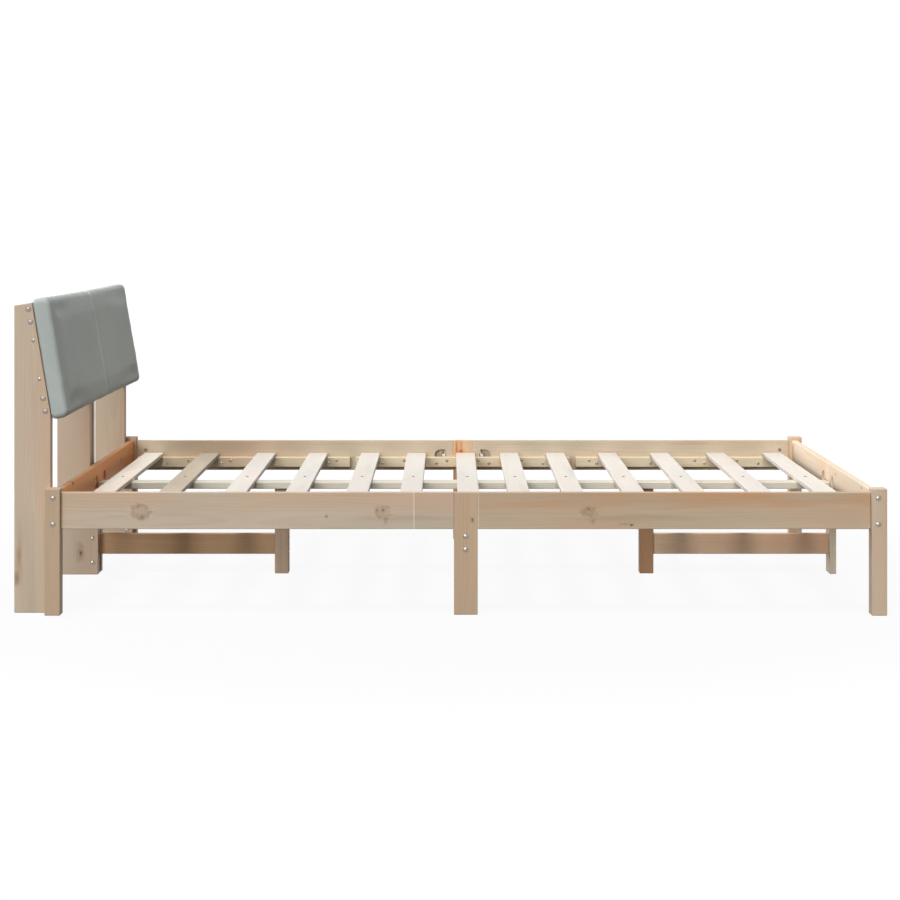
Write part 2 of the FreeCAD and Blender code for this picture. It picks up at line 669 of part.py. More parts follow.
def bolted(face, direction, first, nut_axis):
    """A bolt through a first piece of a given thickness, and its barrel nut in the second."""
    frame_bolts.append(bolt(face, direction, first + SIZE.bolt_reach))
    barrel_nuts.append(barrel_nut(face + direction * (first + SIZE.barrel_distance), nut_axis, direction))


for end in ENDS.values():
    for side in SIDES.values():
        for sign in (-1, 1):
            end_z = RAIL_MIDDLE + sign * SIZE.end_bolt_spread
            side_z = RAIL_MIDDLE + sign * SIZE.side_bolt_spread
            bolted(spot(end * (HALF_LENGTH + HALF_RAIL), side * OUTER_WIDTH, end_z),
                   ACROSS * -side, SIZE.post_size, ALONG)
            bolted(spot(end * OUTER_LENGTH, side * (HALF_WIDTH + HALF_RAIL), side_z),
                   ALONG * -end, SIZE.post_size, ACROSS)

STRETCHER_MIDDLE = SIZE.stretcher_lift + SIZE.stretcher_height / 2
SUPPORT_X = SIZE.mattress_length / 4
for sign in (-1, 1):
    low = STRETCHER_MIDDLE + sign * SIZE.side_bolt_spread
    for side in SIDES.values():
        bolted(spot(0, side * (HALF_WIDTH + SIZE.rail_thickness),
                    SIZE.cross_bolt_height + sign * SIZE.side_bolt_spread),
               ACROSS * -side, SIZE.rail_thickness, ALONG)
    bolted(spot(HALF_LENGTH + SIZE.rail_thickness, 0, low), ALONG * -1, SIZE.rail_thickness, ACROSS)
    for end in ENDS.values():
        bolted(spot(end * (SUPPORT_X - SIZE.post_size / 2), 0, low), ALONG * end, SIZE.post_size, ACROSS)


def half_moon_nut(centre, out, inward):
    """A half-moon plate with its hexagon nut, on a stud; out points away from the leg."""
    plate = Part.makeCylinder(SIZE.nut_radius, SIZE.nut_plate, centre, out)
    trim = Part.makeBox(4 * SIZE.nut_radius, 4 * SIZE.nut_radius, 4 * SIZE.nut_radius)
    trim.translate(centre - FreeCAD.Vector(2, 2, 2) * SIZE.nut_radius)
    trim.translate(inward * (2 * SIZE.nut_radius + HALF_RAIL - SIZE.edge_radius))
    under = trim.copy()
    depth = SIZE.recess_depth - HALF_RAIL - SIZE.cushion_gap
    under.translate(inward * -(4 * SIZE.nut_radius + HALF_RAIL - SIZE.edge_radius + depth))
    plate = plate.cut(trim).cut(under)
    nut = hexagon(centre + out * SIZE.nut_plate, out, SIZE.nut_across, SIZE.nut_height)
    reach = SIZE.nut_plate + SIZE.nut_height
    hole = Part.makeCylinder((SIZE.stud_diameter + SIZE.bolt_clearance) / 2, 2 * reach,
                             centre - out * (reach / 2), out)
    return plate.fuse(nut.cut(under)).removeSplitter().cut(hole)


STUD_REACH = SIZE.leg_width / 2 + SIZE.recess_wall
STUD_LENGTH = STUD_REACH + SIZE.nut_plate + SIZE.nut_height + SIZE.edge_radius
joint_studs = []
half_moon_nuts = []


def joint(middle, way, inward):
    """The stud through a middle leg and the two half-moon nuts on it."""
    joint_studs.append(Part.makeCylinder(SIZE.stud_diameter / 2, 2 * STUD_LENGTH,
                                         middle - way * STUD_LENGTH, way))
    for sign in (-1, 1):
        out = way * sign
        half_moon_nuts.append(half_moon_nut(middle + out * STUD_REACH, out, inward))


for side in SIDES.values():
    joint(spot(0, side * (HALF_WIDTH + HALF_RAIL), RAIL_MIDDLE), ALONG, ACROSS * -side)
for end in ENDS.values():
    joint(spot(end * (HALF_LENGTH + HALF_RAIL), 0, RAIL_MIDDLE), ACROSS, ALONG * -end)


# Headboard bolts: cushion rails to uprights, uprights to posts and to each other

LEAN = math.radians(SIZE.slant_angle)
SLANT_LENGTH = (SIZE.upright_height - SIZE.slant_start) / math.cos(LEAN)
SLANT_X = -HALF_LENGTH - SIZE.rail_thickness - SIZE.upright_clearance
RAIL_AXIS = SIZE.cushion_rail_setback + SIZE.cushion_rail_thickness / 2
OUTWARD = FreeCAD.Vector(math.cos(LEAN), 0, math.sin(LEAN))
RISE = FreeCAD.Vector(-math.sin(LEAN), 0, math.cos(LEAN))
CUSHION_RAILS = [SIZE.cushion_rail_width / 2,
                 SLANT_LENGTH - SIZE.cushion_rail_width / 2 - SIZE.edge_radius]
headboard_bolts = []
for along in CUSHION_RAILS:
    for sign in (-1, 1):
        for side in SIDES.values():
            for face_y, way in ((side * POST_INNER_Y, -side), (side * HALF_RAIL, side)):
                face = spot(SLANT_X, face_y, SIZE.slant_start)
                face += RISE * (along + sign * SIZE.side_bolt_spread) - OUTWARD * RAIL_AXIS
                headboard_bolts.append(bolt(face, ACROSS * way,
                                            SIZE.upright_thickness + SIZE.bolt_reach))
                nut = face + ACROSS * (way * (SIZE.upright_thickness + SIZE.barrel_distance))
                barrel_nuts.append(barrel_nut(nut, OUTWARD, ACROSS))

FOOT_X = -HALF_LENGTH - (SIZE.rail_thickness + SIZE.rail_recess) / 2
for sign in (-1, 1):
    foot_z = SIZE.upright_bolt_height + sign * SIZE.upright_bolt_spread
    for side in SIDES.values():
        inner = spot(FOOT_X, side * (POST_INNER_Y - SIZE.upright_thickness), foot_z)
        headboard_bolts.append(bolt(inner, ACROSS * side, SIZE.upright_thickness + SIZE.bolt_reach
                                    - 2 * SIZE.edge_radius))
    outer = HALF_RAIL + SIZE.upright_thickness
    across = bolt(spot(FOOT_X, -outer, foot_z), ACROSS, 2 * outer - SIZE.head_height)
    sleeve = bolt(spot(FOOT_X, outer, foot_z), ACROSS * -1, SIZE.upright_thickness)
    headboard_bolts.append(across.fuse(sleeve).removeSplitter())

FASTENERS = {
    "frame_bolts": frame_bolts,
    "barrel_nuts": barrel_nuts,
    "joint_studs": joint_studs,
    "half_moon_nuts": half_moon_nuts,
    "headboard_bolts": headboard_bolts,
}
for label, solids in FASTENERS.items():
    shaped(label, Part.makeCompound(solids))


# Check every object, then write each sub-part to its own file

DOCUMENT.recompute()
for item in DOCUMENT.Objects:
    if "Invalid" in item.State or "Error" in item.State:
        raise RuntimeError("%s failed: %s" % (item.Label, item.State))

os.makedirs("parts", exist_ok=True)
SUBPARTS = [item for item in DOCUMENT.Objects
            if item.TypeId == "PartDesign::Body" or item.TypeId == "Part::Feature"]
for item in SUBPARTS:
    if item.Shape.isNull() or not item.Shape.isValid():
        raise RuntimeError("%s has no valid shape" % item.Label)
    item.Shape.exportStep("parts/%s.step" % item.Label)
print("%d sub-parts" % len(SUBPARTS))
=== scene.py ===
"""Looks of a pine bed frame with a leaning padded headboard.

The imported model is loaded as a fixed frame. Its boards and fasteners keep their shapes and get
materials. The cushion is made anew as a stuffed piece, and the small wood screws are added.
Lengths are in metres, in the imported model's own frame: X runs from head to foot, Y across, Z up.
"""

import json
import logging
import math
from collections.abc import Callable
from dataclasses import dataclass
from enum import Enum

import bmesh
import bpy
import numpy as np
from mathutils import Matrix, Vector

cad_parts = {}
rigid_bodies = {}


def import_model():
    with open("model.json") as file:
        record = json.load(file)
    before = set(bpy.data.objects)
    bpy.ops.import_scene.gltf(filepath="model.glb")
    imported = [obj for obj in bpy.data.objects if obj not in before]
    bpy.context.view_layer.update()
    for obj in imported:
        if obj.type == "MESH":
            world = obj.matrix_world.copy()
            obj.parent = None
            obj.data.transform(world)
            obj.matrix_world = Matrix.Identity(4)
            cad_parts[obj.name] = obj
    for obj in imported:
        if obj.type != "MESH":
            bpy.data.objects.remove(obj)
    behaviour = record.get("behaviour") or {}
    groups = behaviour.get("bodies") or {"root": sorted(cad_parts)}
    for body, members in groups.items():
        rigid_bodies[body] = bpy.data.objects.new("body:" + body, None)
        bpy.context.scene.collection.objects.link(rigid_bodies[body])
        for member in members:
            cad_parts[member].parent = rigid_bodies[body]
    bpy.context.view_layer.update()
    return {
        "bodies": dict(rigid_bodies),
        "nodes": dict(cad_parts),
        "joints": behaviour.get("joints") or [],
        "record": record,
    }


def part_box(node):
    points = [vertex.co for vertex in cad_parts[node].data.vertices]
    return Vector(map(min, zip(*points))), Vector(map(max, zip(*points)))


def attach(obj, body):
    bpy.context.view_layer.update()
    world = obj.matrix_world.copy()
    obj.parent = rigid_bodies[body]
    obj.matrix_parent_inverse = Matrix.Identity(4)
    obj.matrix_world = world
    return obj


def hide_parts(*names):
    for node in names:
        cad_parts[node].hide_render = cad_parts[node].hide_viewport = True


LOG = logging.getLogger("bed")
BODY = "root"
# The middle of the mattress well, seen from the middle of the whole bed
MIDDLE_X = 0.040
# Noise lies about this value
NOISE_MIDDLE = 0.5
MM_PER_M = 1000
# A face looks along a direction if its normal has this much of it
FACING = 0.9
BLACK = (0.0, 0.0, 0.0)
OPAQUE_WHITE = (1.0, 1.0, 1.0, 1.0)

Colour = tuple[float, float, float]
Triple = tuple[float, float, float]


class Axis(Enum):
    """A direction of the bed."""

    X = 0
    Y = 1
    Z = 2


class Tool(Enum):
    """Math nodes that stand behind the expressions."""

    ADD = "ADD"
    SUBTRACT = "SUBTRACT"
    MULTIPLY = "MULTIPLY"
    DIVIDE = "DIVIDE"
    ROOT = "SQRT"
    SINE = "SINE"
    FRACTION = "FRACT"
    GREATER = "GREATER_THAN"
    LARGEST = "MAXIMUM"
    SIZE = "ABSOLUTE"


class Value:
    """A socket of a material's nodes, with Python's operators written as Math nodes."""

    def __init__(self, graph: "Graph", socket: bpy.types.NodeSocket) -> None:
        """Keep the graph and the socket."""
        self.graph = graph
        self.socket = socket

    def _math(self, tool: Tool, first: "Value | float", second: "Value | float" = 0.0) -> "Value":
        """Add one Math node."""
        return self.graph.node("ShaderNodeMath", {"operation": tool.value}, {0: first, 1: second})

    def __add__(self, other: "Value | float") -> "Value":
        """Sum."""
        return self._math(Tool.ADD, self, other)

    def __sub__(self, other: "Value | float") -> "Value":
        """Difference."""
        return self._math(Tool.SUBTRACT, self, other)

    def __rsub__(self, other: float) -> "Value":
        """Difference with a number on the left."""
        return self._math(Tool.SUBTRACT, other, self)

    def __mul__(self, other: "Value | float") -> "Value":
        """Product."""
        return self._math(Tool.MULTIPLY, self, other)

    def __truediv__(self, other: "Value | float") -> "Value":
        """Quotient."""
        return self._math(Tool.DIVIDE, self, other)

    __radd__ = __add__
    __rmul__ = __mul__

    def root(self) -> "Value":
        """Square root."""
        return self._math(Tool.ROOT, self)

    def sine(self) -> "Value":
        """Sine of an angle in radians."""
        return self._math(Tool.SINE, self)

    def fraction(self) -> "Value":
        """What is left after the whole number."""
        return self._math(Tool.FRACTION, self)

    def size(self) -> "Value":
        """The value without its sign."""
        return self._math(Tool.SIZE, self)

    def over(self, limit: float) -> "Value":
        """One where the value passes a limit, else zero."""
        return self._math(Tool.GREATER, self, limit)

    def or_larger(self, other: "Value") -> "Value":
        """The larger of two values."""
        return self._math(Tool.LARGEST, self, other)

    def rise(self, low: float, high: float) -> "Value":
        """A smooth step from zero at low to one at high; low may be the greater of the two.

        Args:
            low: value that gives zero.
            high: value that gives one.

        Returns:
            The stepped value.
        """
        return self.graph.node(
            "ShaderNodeMapRange",
            {"interpolation_type": "SMOOTHSTEP"},
            {"Value": self, "From Min": low, "From Max": high, "To Min": 0.0, "To Max": 1.0},
        )


class Graph:
    """The nodes of one material, or of the world."""

    def __init__(self, owner: bpy.types.Material | bpy.types.World) -> None:
        """Empty the owner's node tree.

        Args:
            owner: a new material or world.
        """
        owner.use_nodes = True
        self.owner = owner
        self.tree = owner.node_tree
        self.tree.nodes.clear()

    def node(
        self,
        kind: str,
        settings: dict[str, object],
        inputs: dict[str | int, object],
        output: str | int = 0,
    ) -> Value:
        """Add any node.

        Args:
            kind: Blender's type of the node.
            settings: properties that are set first.
            inputs: values or links of its sockets, by name or number.
            output: the output that is given back.

        Returns:
            That output as a value.
        """
        made = self.tree.nodes.new(kind)
        for key, setting in settings.items():
            setattr(made, key, setting)
        for key, given in inputs.items():
            if isinstance(given, Value):
                self.tree.links.new(given.socket, made.inputs[key])
            else:
                made.inputs[key].default_value = given
        return Value(self, made.outputs[output])

    def parts(self, whole: Value, kind: str = "ShaderNodeSeparateXYZ") -> tuple[Value, ...]:
        """The three values of a vector, or of a colour with that kind of node."""
        split = self.node(kind, {}, {0: whole}).socket.node
        return tuple(Value(self, socket) for socket in split.outputs)

    def place(self, kind: str = "Object") -> tuple[Value, ...]:
        """Coordinates as three values."""
        return self.parts(self.node("ShaderNodeTexCoord", {}, {}, kind))

    def noise(self, x: Value | float, y: Value | float, z: Value | float, detail: float) -> Value:
        """Soft noise from zero to one, at a place given in lengths of its lumps."""
        where = self.vector(x, y, z)
        return self.node("ShaderNodeTexNoise", {}, {"Vector": where, "Scale": 1.0, "Detail": detail})

    def vector(self, x: Value | float, y: Value | float, z: Value | float) -> Value:
        """Three values as a vector."""
        return self.node("ShaderNodeCombineXYZ", {}, {0: x, 1: y, 2: z})

    def mix(self, share: Value | float, first: Value | Colour, second: Value | Colour) -> Value:
        """A colour between two.

        Args:
            share: how much of the second.
            first: the colour at zero.
            second: the colour at one.

        Returns:
            The mixed colour.
        """
        made = self.tree.nodes.new("ShaderNodeMix")
        made.data_type = "RGBA"
        for index, given in ((0, share), (6, first), (7, second)):
            if isinstance(given, Value):
                self.tree.links.new(given.socket, made.inputs[index])
            elif index:
                made.inputs[index].default_value = (*given, 1.0)
            else:
                made.inputs[index].default_value = given
        return Value(self, made.outputs[2])

    def bump(self, height: Value, strength: float, distance: float) -> Value:
        """A normal that follows a height."""
        return self.node(
            "ShaderNodeBump", {}, {"Strength": strength, "Distance": distance, "Height": height}
        )

    def surface(self, inputs: dict[str, object]) -> bpy.types.Material:
        """Close the material with one Principled shader."""
        return self.shown(self.node("ShaderNodeBsdfPrincipled", {}, inputs))

    def shown(
        self, shader: Value, kind: str = "ShaderNodeOutputMaterial"
    ) -> bpy.types.Material | bpy.types.World:
        """Link a shader to the output.

        Args:
            shader: what is shown.
            kind: Blender's type of the output node.

        Returns:
            The finished material or world.
        """
        output = self.tree.nodes.new(kind)
        self.tree.links.new(shader.socket, output.inputs["Surface"])
        return self.owner


@dataclass(frozen=True)
class Blend:
    """Where a colour comes in as a value goes from low to high, and how much of it."""

    low: float
    high: float
    share: float

    def of(self, value: Value, strength: float = 1.0) -> Value:
        """The colour's share, from the value it follows."""
        return value.rise(self.low, self.high) * (self.share * strength)


def tinted(colour: Colour, tint: Colour) -> Colour:
    """A colour with each of its parts multiplied by the tint's."""
    return tuple(part * share for part, share in zip(colour, tint))


@dataclass(frozen=True)
class PineTone:
    """The colours of one kind of pine board.

    Knots is the share of places that hold a knot. Heart is the share of warm heartwood along the
    board's upper edge, rear a plain pine colour for the lower side of its thickness, beside a deep
    tone on the other side that is partly painted warm shade, and patchy how strongly pink and grey
    stretches take turns along the board.
    """

    early: Colour
    late: Colour
    knot: Colour
    knots: float = 0.3
    heart: float = 0.0
    rear: Colour | None = None
    patchy: float = 1.0
    roughness: float = 0.5


RAIL_TONE = PineTone((0.600, 0.492, 0.375), (0.470, 0.340, 0.228), (0.190, 0.085, 0.035), 0.0, 0.5)
WARM_TONE = PineTone((0.545, 0.425, 0.302), (0.435, 0.296, 0.180), (0.170, 0.075, 0.030), 0.0, 1.0)
# Pale tone for the foot rails and foot leg: partly a paler wood and partly painted light on the inner
# faces that face the light
LIT_FOOT_TONE = PineTone((0.800, 0.650, 0.490), (0.680, 0.510, 0.350), (0.190, 0.085, 0.035), 0.2)
FAR_TONE = PineTone((0.590, 0.490, 0.365), (0.480, 0.360, 0.235), (0.200, 0.090, 0.040), 0.2)
LEG_TONE = PineTone((0.545, 0.392, 0.262), (0.443, 0.288, 0.172), (0.190, 0.085, 0.035), 0.0)
SLAT_TONE = PineTone(
    (0.740, 0.684, 0.620), (0.690, 0.610, 0.520), (0.330, 0.190, 0.100), 0.10, patchy=0.4
)
TAN_TONE = PineTone((0.510, 0.425, 0.315), (0.420, 0.320, 0.215), (0.220, 0.120, 0.060), 0.0)
# Paler tone for the first slat: painted light that makes up for the headboard's shadow on it
LIT_SLAT_TONE = PineTone((0.930, 0.840, 0.730), (0.860, 0.740, 0.600), (0.330, 0.190, 0.100), 0.0)
BEAM_TONE = PineTone((0.680, 0.630, 0.525), (0.600, 0.530, 0.410), (0.230, 0.120, 0.060), 0.0)
# Paler tone for the ledgers: painted light that makes up for the shade of the slats above them
LIT_LEDGER_TONE = PineTone((0.790, 0.660, 0.460), (0.670, 0.515, 0.340), (0.230, 0.120, 0.060), 0.0)
RED_TONE = PineTone((0.700, 0.480, 0.300), (0.640, 0.330, 0.140), (0.420, 0.070, 0.012), 0.0)
# Head rail: a deep orange on the inner face, partly the wood's own colour and partly painted warm
# shade for that shaded face; the outer face keeps plain pine
HEAD_TONE = PineTone(
    (0.880, 0.360, 0.098), (0.700, 0.225, 0.048), (0.150, 0.050, 0.020), 0.5,
    rear=(0.620, 0.480, 0.345),
)
UPRIGHT_TONE = PineTone((0.612, 0.486, 0.365), (0.508, 0.360, 0.240), (0.180, 0.080, 0.035), 0.1, 0.35)
# Darker, redder tone for the head stretcher, cross rails and cushion boards: painted shade under the
# bed and behind the cushion
SHADED_BACK_TONE = PineTone((0.510, 0.314, 0.175), (0.395, 0.212, 0.103), (0.130, 0.050, 0.022))
DULL_TONE = PineTone((0.520, 0.390, 0.275), (0.420, 0.280, 0.178), (0.160, 0.065, 0.028))
# Darker, redder tone for the support leg at the foot: painted shade under the bed
SHADED_BROWN_TONE = PineTone((0.415, 0.250, 0.140), (0.325, 0.170, 0.083), (0.130, 0.050, 0.022))
GOLD_TONE = PineTone((0.690, 0.485, 0.320), (0.560, 0.350, 0.205), (0.160, 0.065, 0.028))

# Tones by the start of a board's name; the first that fits holds
TONES = {
    "slat_01": LIT_SLAT_TONE,
    "slat_02": TAN_TONE,
    "slat": SLAT_TONE,
    "ledger": LIT_LEDGER_TONE,
    "side_rail_left": FAR_TONE,
    "side_rail_right_foot": WARM_TONE,
    "side_rail_right_head": RAIL_TONE,
    "side_leg_left": RED_TONE,
    "side_leg_right": LEG_TONE,
    "head_rail": HEAD_TONE,
    "head_joint_block": HEAD_TONE,
    "head_post": LEG_TONE,
    "foot_rail": LIT_FOOT_TONE,
    "foot_leg": LIT_FOOT_TONE,
    "foot_post_right": UPRIGHT_TONE,
    "foot_post_left": GOLD_TONE,
    "centre_beam": BEAM_TONE,
    "cross_rail": SHADED_BACK_TONE,
    "support_leg_head": DULL_TONE,
    "support_leg_foot": SHADED_BROWN_TONE,
    "stretcher_head": SHADED_BACK_TONE,
    "stretcher_foot": GOLD_TONE,
    "upright": UPRIGHT_TONE,
    "cushion_": SHADED_BACK_TONE,
}


@dataclass(frozen=True)
class Mark:
    """A knot, a brown patch or a patch of painted shadow at one place of a board, filled or with
    only its rim.

    Along and across are its place on the bed, along the grain and across the broad face.
    """

    along: float
    across: float
    length: float
    width: float
    share: float = 0.6
    hollow: float = 0.0


MARKS = {
    "side_rail_right_head": (
        Mark(-0.7571, 0.2526, 0.023, 0.018, 0.34, 1.0),
        Mark(-0.7634, 0.2650, 0.006, 0.005, 0.35),
        Mark(-0.7536, 0.2403, 0.007, 0.008, 0.35),
        Mark(-0.1636, 0.2513, 0.020, 0.018, 0.34, 1.0),
        Mark(-0.1631, 0.2569, 0.005, 0.006, 0.60),
        Mark(-0.1770, 0.2570, 0.004, 0.008, 0.40),
        Mark(-0.1562, 0.2318, 0.004, 0.009, 0.30),
        Mark(-0.3014, 0.2410, 0.005, 0.004, 0.55),
    ),
    "side_rail_right_foot": (
        Mark(0.3434, 0.2513, 0.020, 0.012, 0.34, 1.0),
        Mark(0.3412, 0.2589, 0.006, 0.005, 0.90),
        Mark(0.3512, 0.2291, 0.008, 0.006, 0.50),
        Mark(0.4458, 0.2203, 0.005, 0.004, 0.95),
        Mark(0.4265, 0.2227, 0.017, 0.002, 0.35),
    ),
    "side_leg_right": (Mark(0.2330, 0.0562, 0.007, 0.005, 0.85),),
    "upright_middle_right": (
        Mark(0.0605, -1.0085, 0.034, 0.013, 0.45),
        Mark(0.0590, -1.0075, 0.011, 0.006, 0.90),
    ),
    "upright_right": (
        Mark(0.0860, -1.0656, 0.022, 0.010, 0.55),
        Mark(0.1400, -1.0600, 0.040, 0.008, 0.35),
    ),
    "head_post_right": (Mark(0.0760, -0.9830, 0.016, 0.008, 0.50),),
    "side_leg_left": (
        Mark(0.2750, 0.0210, 0.0300, 0.0045, 0.70),
        # Dark patch on the far leg just above the slats: painted shadow between slat and leg
        Mark(0.2650, 0.0340, 0.0080, 0.0130, 0.85),
        Mark(0.2850, 0.0350, 0.0240, 0.0045, 0.45),
        Mark(0.1500, 0.0300, 0.0900, 0.0120, 0.60),
    ),
}


@dataclass(frozen=True)
class Streaks:
    """Noise drawn out along the grain: lumps per metre along and across, and its fineness.

    Shift is how far the next board's number moves it along.
    """

    along: float
    across: float
    detail: float
    shift: float


@dataclass(frozen=True)
class Pine:
    """Planed pine: rings about a pith line outside the board, knots through it, fibre streaks.

    The board runs along one axis and is wide along another. Its seed sets it apart from the next
    board. A glued joint crosses the grain at glued_at, and the last field is the place of a painted
    highlight on the board's rounded end.
    """

    name: str
    run: Axis
    wide: Axis
    centre: Triple
    tone: PineTone
    seed: int
    marks: tuple[Mark, ...] = ()
    glued_at: float | None = None
    highlight_at: float | None = None

    # Streaks of three finenesses
    SLOW = Streaks(1.7, 8.0, 2.0, 3.7)
    BROAD = Streaks(2.2, 26.0, 3.0, -1.0)
    FIBRE = Streaks(7.0, 420.0, 3.0, 1.0)

    # Tints on the pale early wood or the dark late wood, and where they come in
    LATEWOOD = 0.26
    HEART_TINT = (0.98, 0.76, 0.62)
    HEART = Blend(-0.012, 0.026, 1.0)
    HEART_WAVE = 0.03
    FLUSH_TINT = (1.02, 0.90, 0.85)
    FLUSH = Blend(0.50, 0.66, 0.85)
    GREY_TINT = (0.88, 0.94, 0.95)
    GREY = Blend(0.48, 0.34, 0.70)
    PALE_TINT = (1.13, 1.13, 1.13)
    PALE_STREAKS = Blend(0.52, 0.80, 0.50)
    PALEST = 0.9
    DEEP_TINT = (0.8, 0.8, 0.8)
    DEEP_STREAKS = Blend(0.46, 0.22, 0.42)
    FIBRE_LINES = Blend(0.55, 0.25, 0.15)
    # Where the plain pine of the lower side takes over from the other side's partly painted shade
    PLAIN_REAR = Blend(0.003, -0.003, 1.0)
    PLAIN_REAR_LINES = 0.5
    # Pale colour of the glue line, also used for the painted highlight on a rounded end
    GLUE_AND_HIGHLIGHT_COLOUR = (0.84, 0.76, 0.66)
    GLUE = Blend(0.0015, 0.0007, 0.7)
    BEYOND_GLUE = 0.13
    # A painted highlight along a board's rounded end, where it catches the light
    END_HIGHLIGHT = Blend(0.0028, 0.0014, 0.6)
    KNOT_RING = Blend(0.62, 0.86, 0.45)
    KNOT_SHARE = 0.88

    # Rings: their spacing, the pith's place behind the board, its tilt, and what bends them.
    # Here and below, a name that ends in VARY is a change from one board's seed to the next
    RING = 0.0058
    PITH_TURN_VARY = 2.399
    PITH_REACH = 0.022
    PITH_SWAY = 0.016
    PITH_SWAY_VARY = 3.1
    PITH_BACK = 0.020
    TILT = 0.016
    TILT_VARY = 1.7
    TILT_START = 0.4
    TILT_INWARD = 0.35
    BEND = 0.030
    KNOT_PUSH = 0.0045
    UNEVEN = 0.0012
    UNEVEN_RATE = 210.0
    UNEVEN_VARY = 1.3
    LATE_START = (0.20, 0.86)
    LATE_END = (1.0, 0.90)

    # Knots: a stretched grid of places, the roundness and size of a knot, and its field
    KNOT_STEP = 0.34
    KNOT_STEP_VARY = 0.37
    KNOT_ROW = 0.055
    KNOT_ROW_VARY = 0.61
    KNOT_SCATTER = 0.85
    KNOT_STRETCH = 0.45
    KNOT_LEAST = 0.0028
    KNOT_RANGE = 0.0046
    KNOT_EDGE = (1.05, 0.62)
    KNOT_FIELD = (5.0, 0.4)

    # Marks: how ragged they are, and the reach of their fill, rim and field
    RAGGED_RATE = (60.0, 100.0)
    RAGGED_VARY = 0.1
    RAGGED = 1.3
    PATCHY_RATE = (70.0, 90.0)
    PATCHY_VARY = 0.7
    PATCHY = (0.36, 0.60)
    FILL = (1.15, 0.0)
    FILL_LOSS = 0.62
    RIM_OUT = (1.20, 0.90)
    RIM_IN = (0.35, 0.80)
    RIM_SHARE = 0.7
    FIELD = (2.4, 0.6)
    FIELD_SHARE = 0.8

    # Relief and gloss
    RING_RELIEF = 0.5
    FIBRE_RELIEF = 0.35
    KNOT_RELIEF = 0.4
    FIBRE_ROUGHNESS = 0.10
    RING_GLOSS = 0.06

    def material(self) -> bpy.types.Material:
        """Build the board's material.

        Returns:
            The finished material.
        """
        graph = Graph(bpy.data.materials.new(self.name))
        axes = graph.place()
        thin = next(axis for axis in Axis if axis not in (self.run, self.wide))
        own = tuple(axes[axis.value] - self.centre[axis.value] for axis in (self.run, self.wide, thin))
        along, across, deep = own
        slow, broad, fibre = (
            graph.noise(
                along * streaks.along + streaks.shift * self.seed,
                across * streaks.across,
                deep * streaks.across,
                streaks.detail,
            )
            for streaks in (self.SLOW, self.BROAD, self.FIBRE)
        )
        knot, near = self._knots(graph, along, across)
        stain, halo = self._marked(graph, along, across)
        near = near + halo
        rings = self._rings(own, slow, near)
        colour = self._wood(graph, own, rings, slow, broad)
        colour = graph.mix(self.FIBRE_LINES.of(fibre), colour, tinted(self.tone.late, self.DEEP_TINT))
        colour = self._jointed(graph, axes[self.run.value], colour)
        colour = graph.mix(self.KNOT_RING.of(near), colour, self.tone.late)
        colour = graph.mix(stain, colour, self.tone.knot)
        colour = graph.mix(knot * self.KNOT_SHARE, colour, self.tone.knot)
        height = rings * self.RING_RELIEF + fibre * self.FIBRE_RELIEF - knot * self.KNOT_RELIEF
        gloss = self.RING_GLOSS * rings
        return graph.surface(
            {
                "Base Color": colour,
                "Roughness": self.tone.roughness + self.FIBRE_ROUGHNESS * fibre - gloss,
                "Normal": graph.bump(height, strength=0.16, distance=0.0006),
                "IOR": 1.45,
                "Specular IOR Level": 0.32,
            }
        )

    def _wood(
        self, graph: Graph, own: tuple[Value, ...], rings: Value, slow: Value, broad: Value
    ) -> Value:
        """The colour of the clear wood.

        Args:
            graph: the material's nodes.
            own: place along the grain, across the broad face and through the board.
            rings: latewood lines.
            slow: slow noise along the board.
            broad: broad streaks.

        Returns:
            The colour.
        """
        early, late, patchy = self.tone.early, self.tone.late, self.tone.patchy
        colour = graph.mix(rings * self.LATEWOOD, early, late)
        if self.tone.heart:
            upper = own[1] + (slow - NOISE_MIDDLE) * self.HEART_WAVE
            warm = tinted(early, self.HEART_TINT)
            colour = graph.mix(self.HEART.of(upper, self.tone.heart), colour, warm)
        pale = tuple(min(self.PALEST, part) for part in tinted(early, self.PALE_TINT))
        colour = graph.mix(self.FLUSH.of(slow, patchy), colour, tinted(early, self.FLUSH_TINT))
        colour = graph.mix(self.GREY.of(slow, patchy), colour, tinted(early, self.GREY_TINT))
        colour = graph.mix(self.PALE_STREAKS.of(broad), colour, pale)
        colour = graph.mix(self.DEEP_STREAKS.of(broad), colour, tinted(late, self.DEEP_TINT))
        # Plain pine on the lower side of the thickness, beside the other side's partly painted shade
        if self.tone.rear:
            lines = tinted(self.tone.rear, self.DEEP_TINT)
            plain_rear = graph.mix(rings * self.PLAIN_REAR_LINES, self.tone.rear, lines)
            colour = graph.mix(self.PLAIN_REAR.of(own[2]), colour, plain_rear)
        return colour

    def _jointed(self, graph: Graph, run: Value, colour: Value) -> Value:
        """Draw the glued joint and the painted highlight on the rounded end, where the board has them.

        Args:
            graph: the material's nodes.
            run: place along the bed's axis that the board follows.
            colour: the wood's colour.

        Returns:
            The colour with those lines.
        """
        if self.glued_at is not None:
            offset = run - self.glued_at
            beyond = offset.over(0.0) * self.BEYOND_GLUE
            colour = graph.mix(beyond, colour, tinted(self.tone.late, self.DEEP_TINT))
            colour = graph.mix(self.GLUE.of(offset.size()), colour, self.GLUE_AND_HIGHLIGHT_COLOUR)
        # A painted highlight along the board's rounded end
        if self.highlight_at is not None:
            offset = run - self.highlight_at
            colour = graph.mix(self.END_HIGHLIGHT.of(offset.size()), colour, self.GLUE_AND_HIGHLIGHT_COLOUR)
        return colour

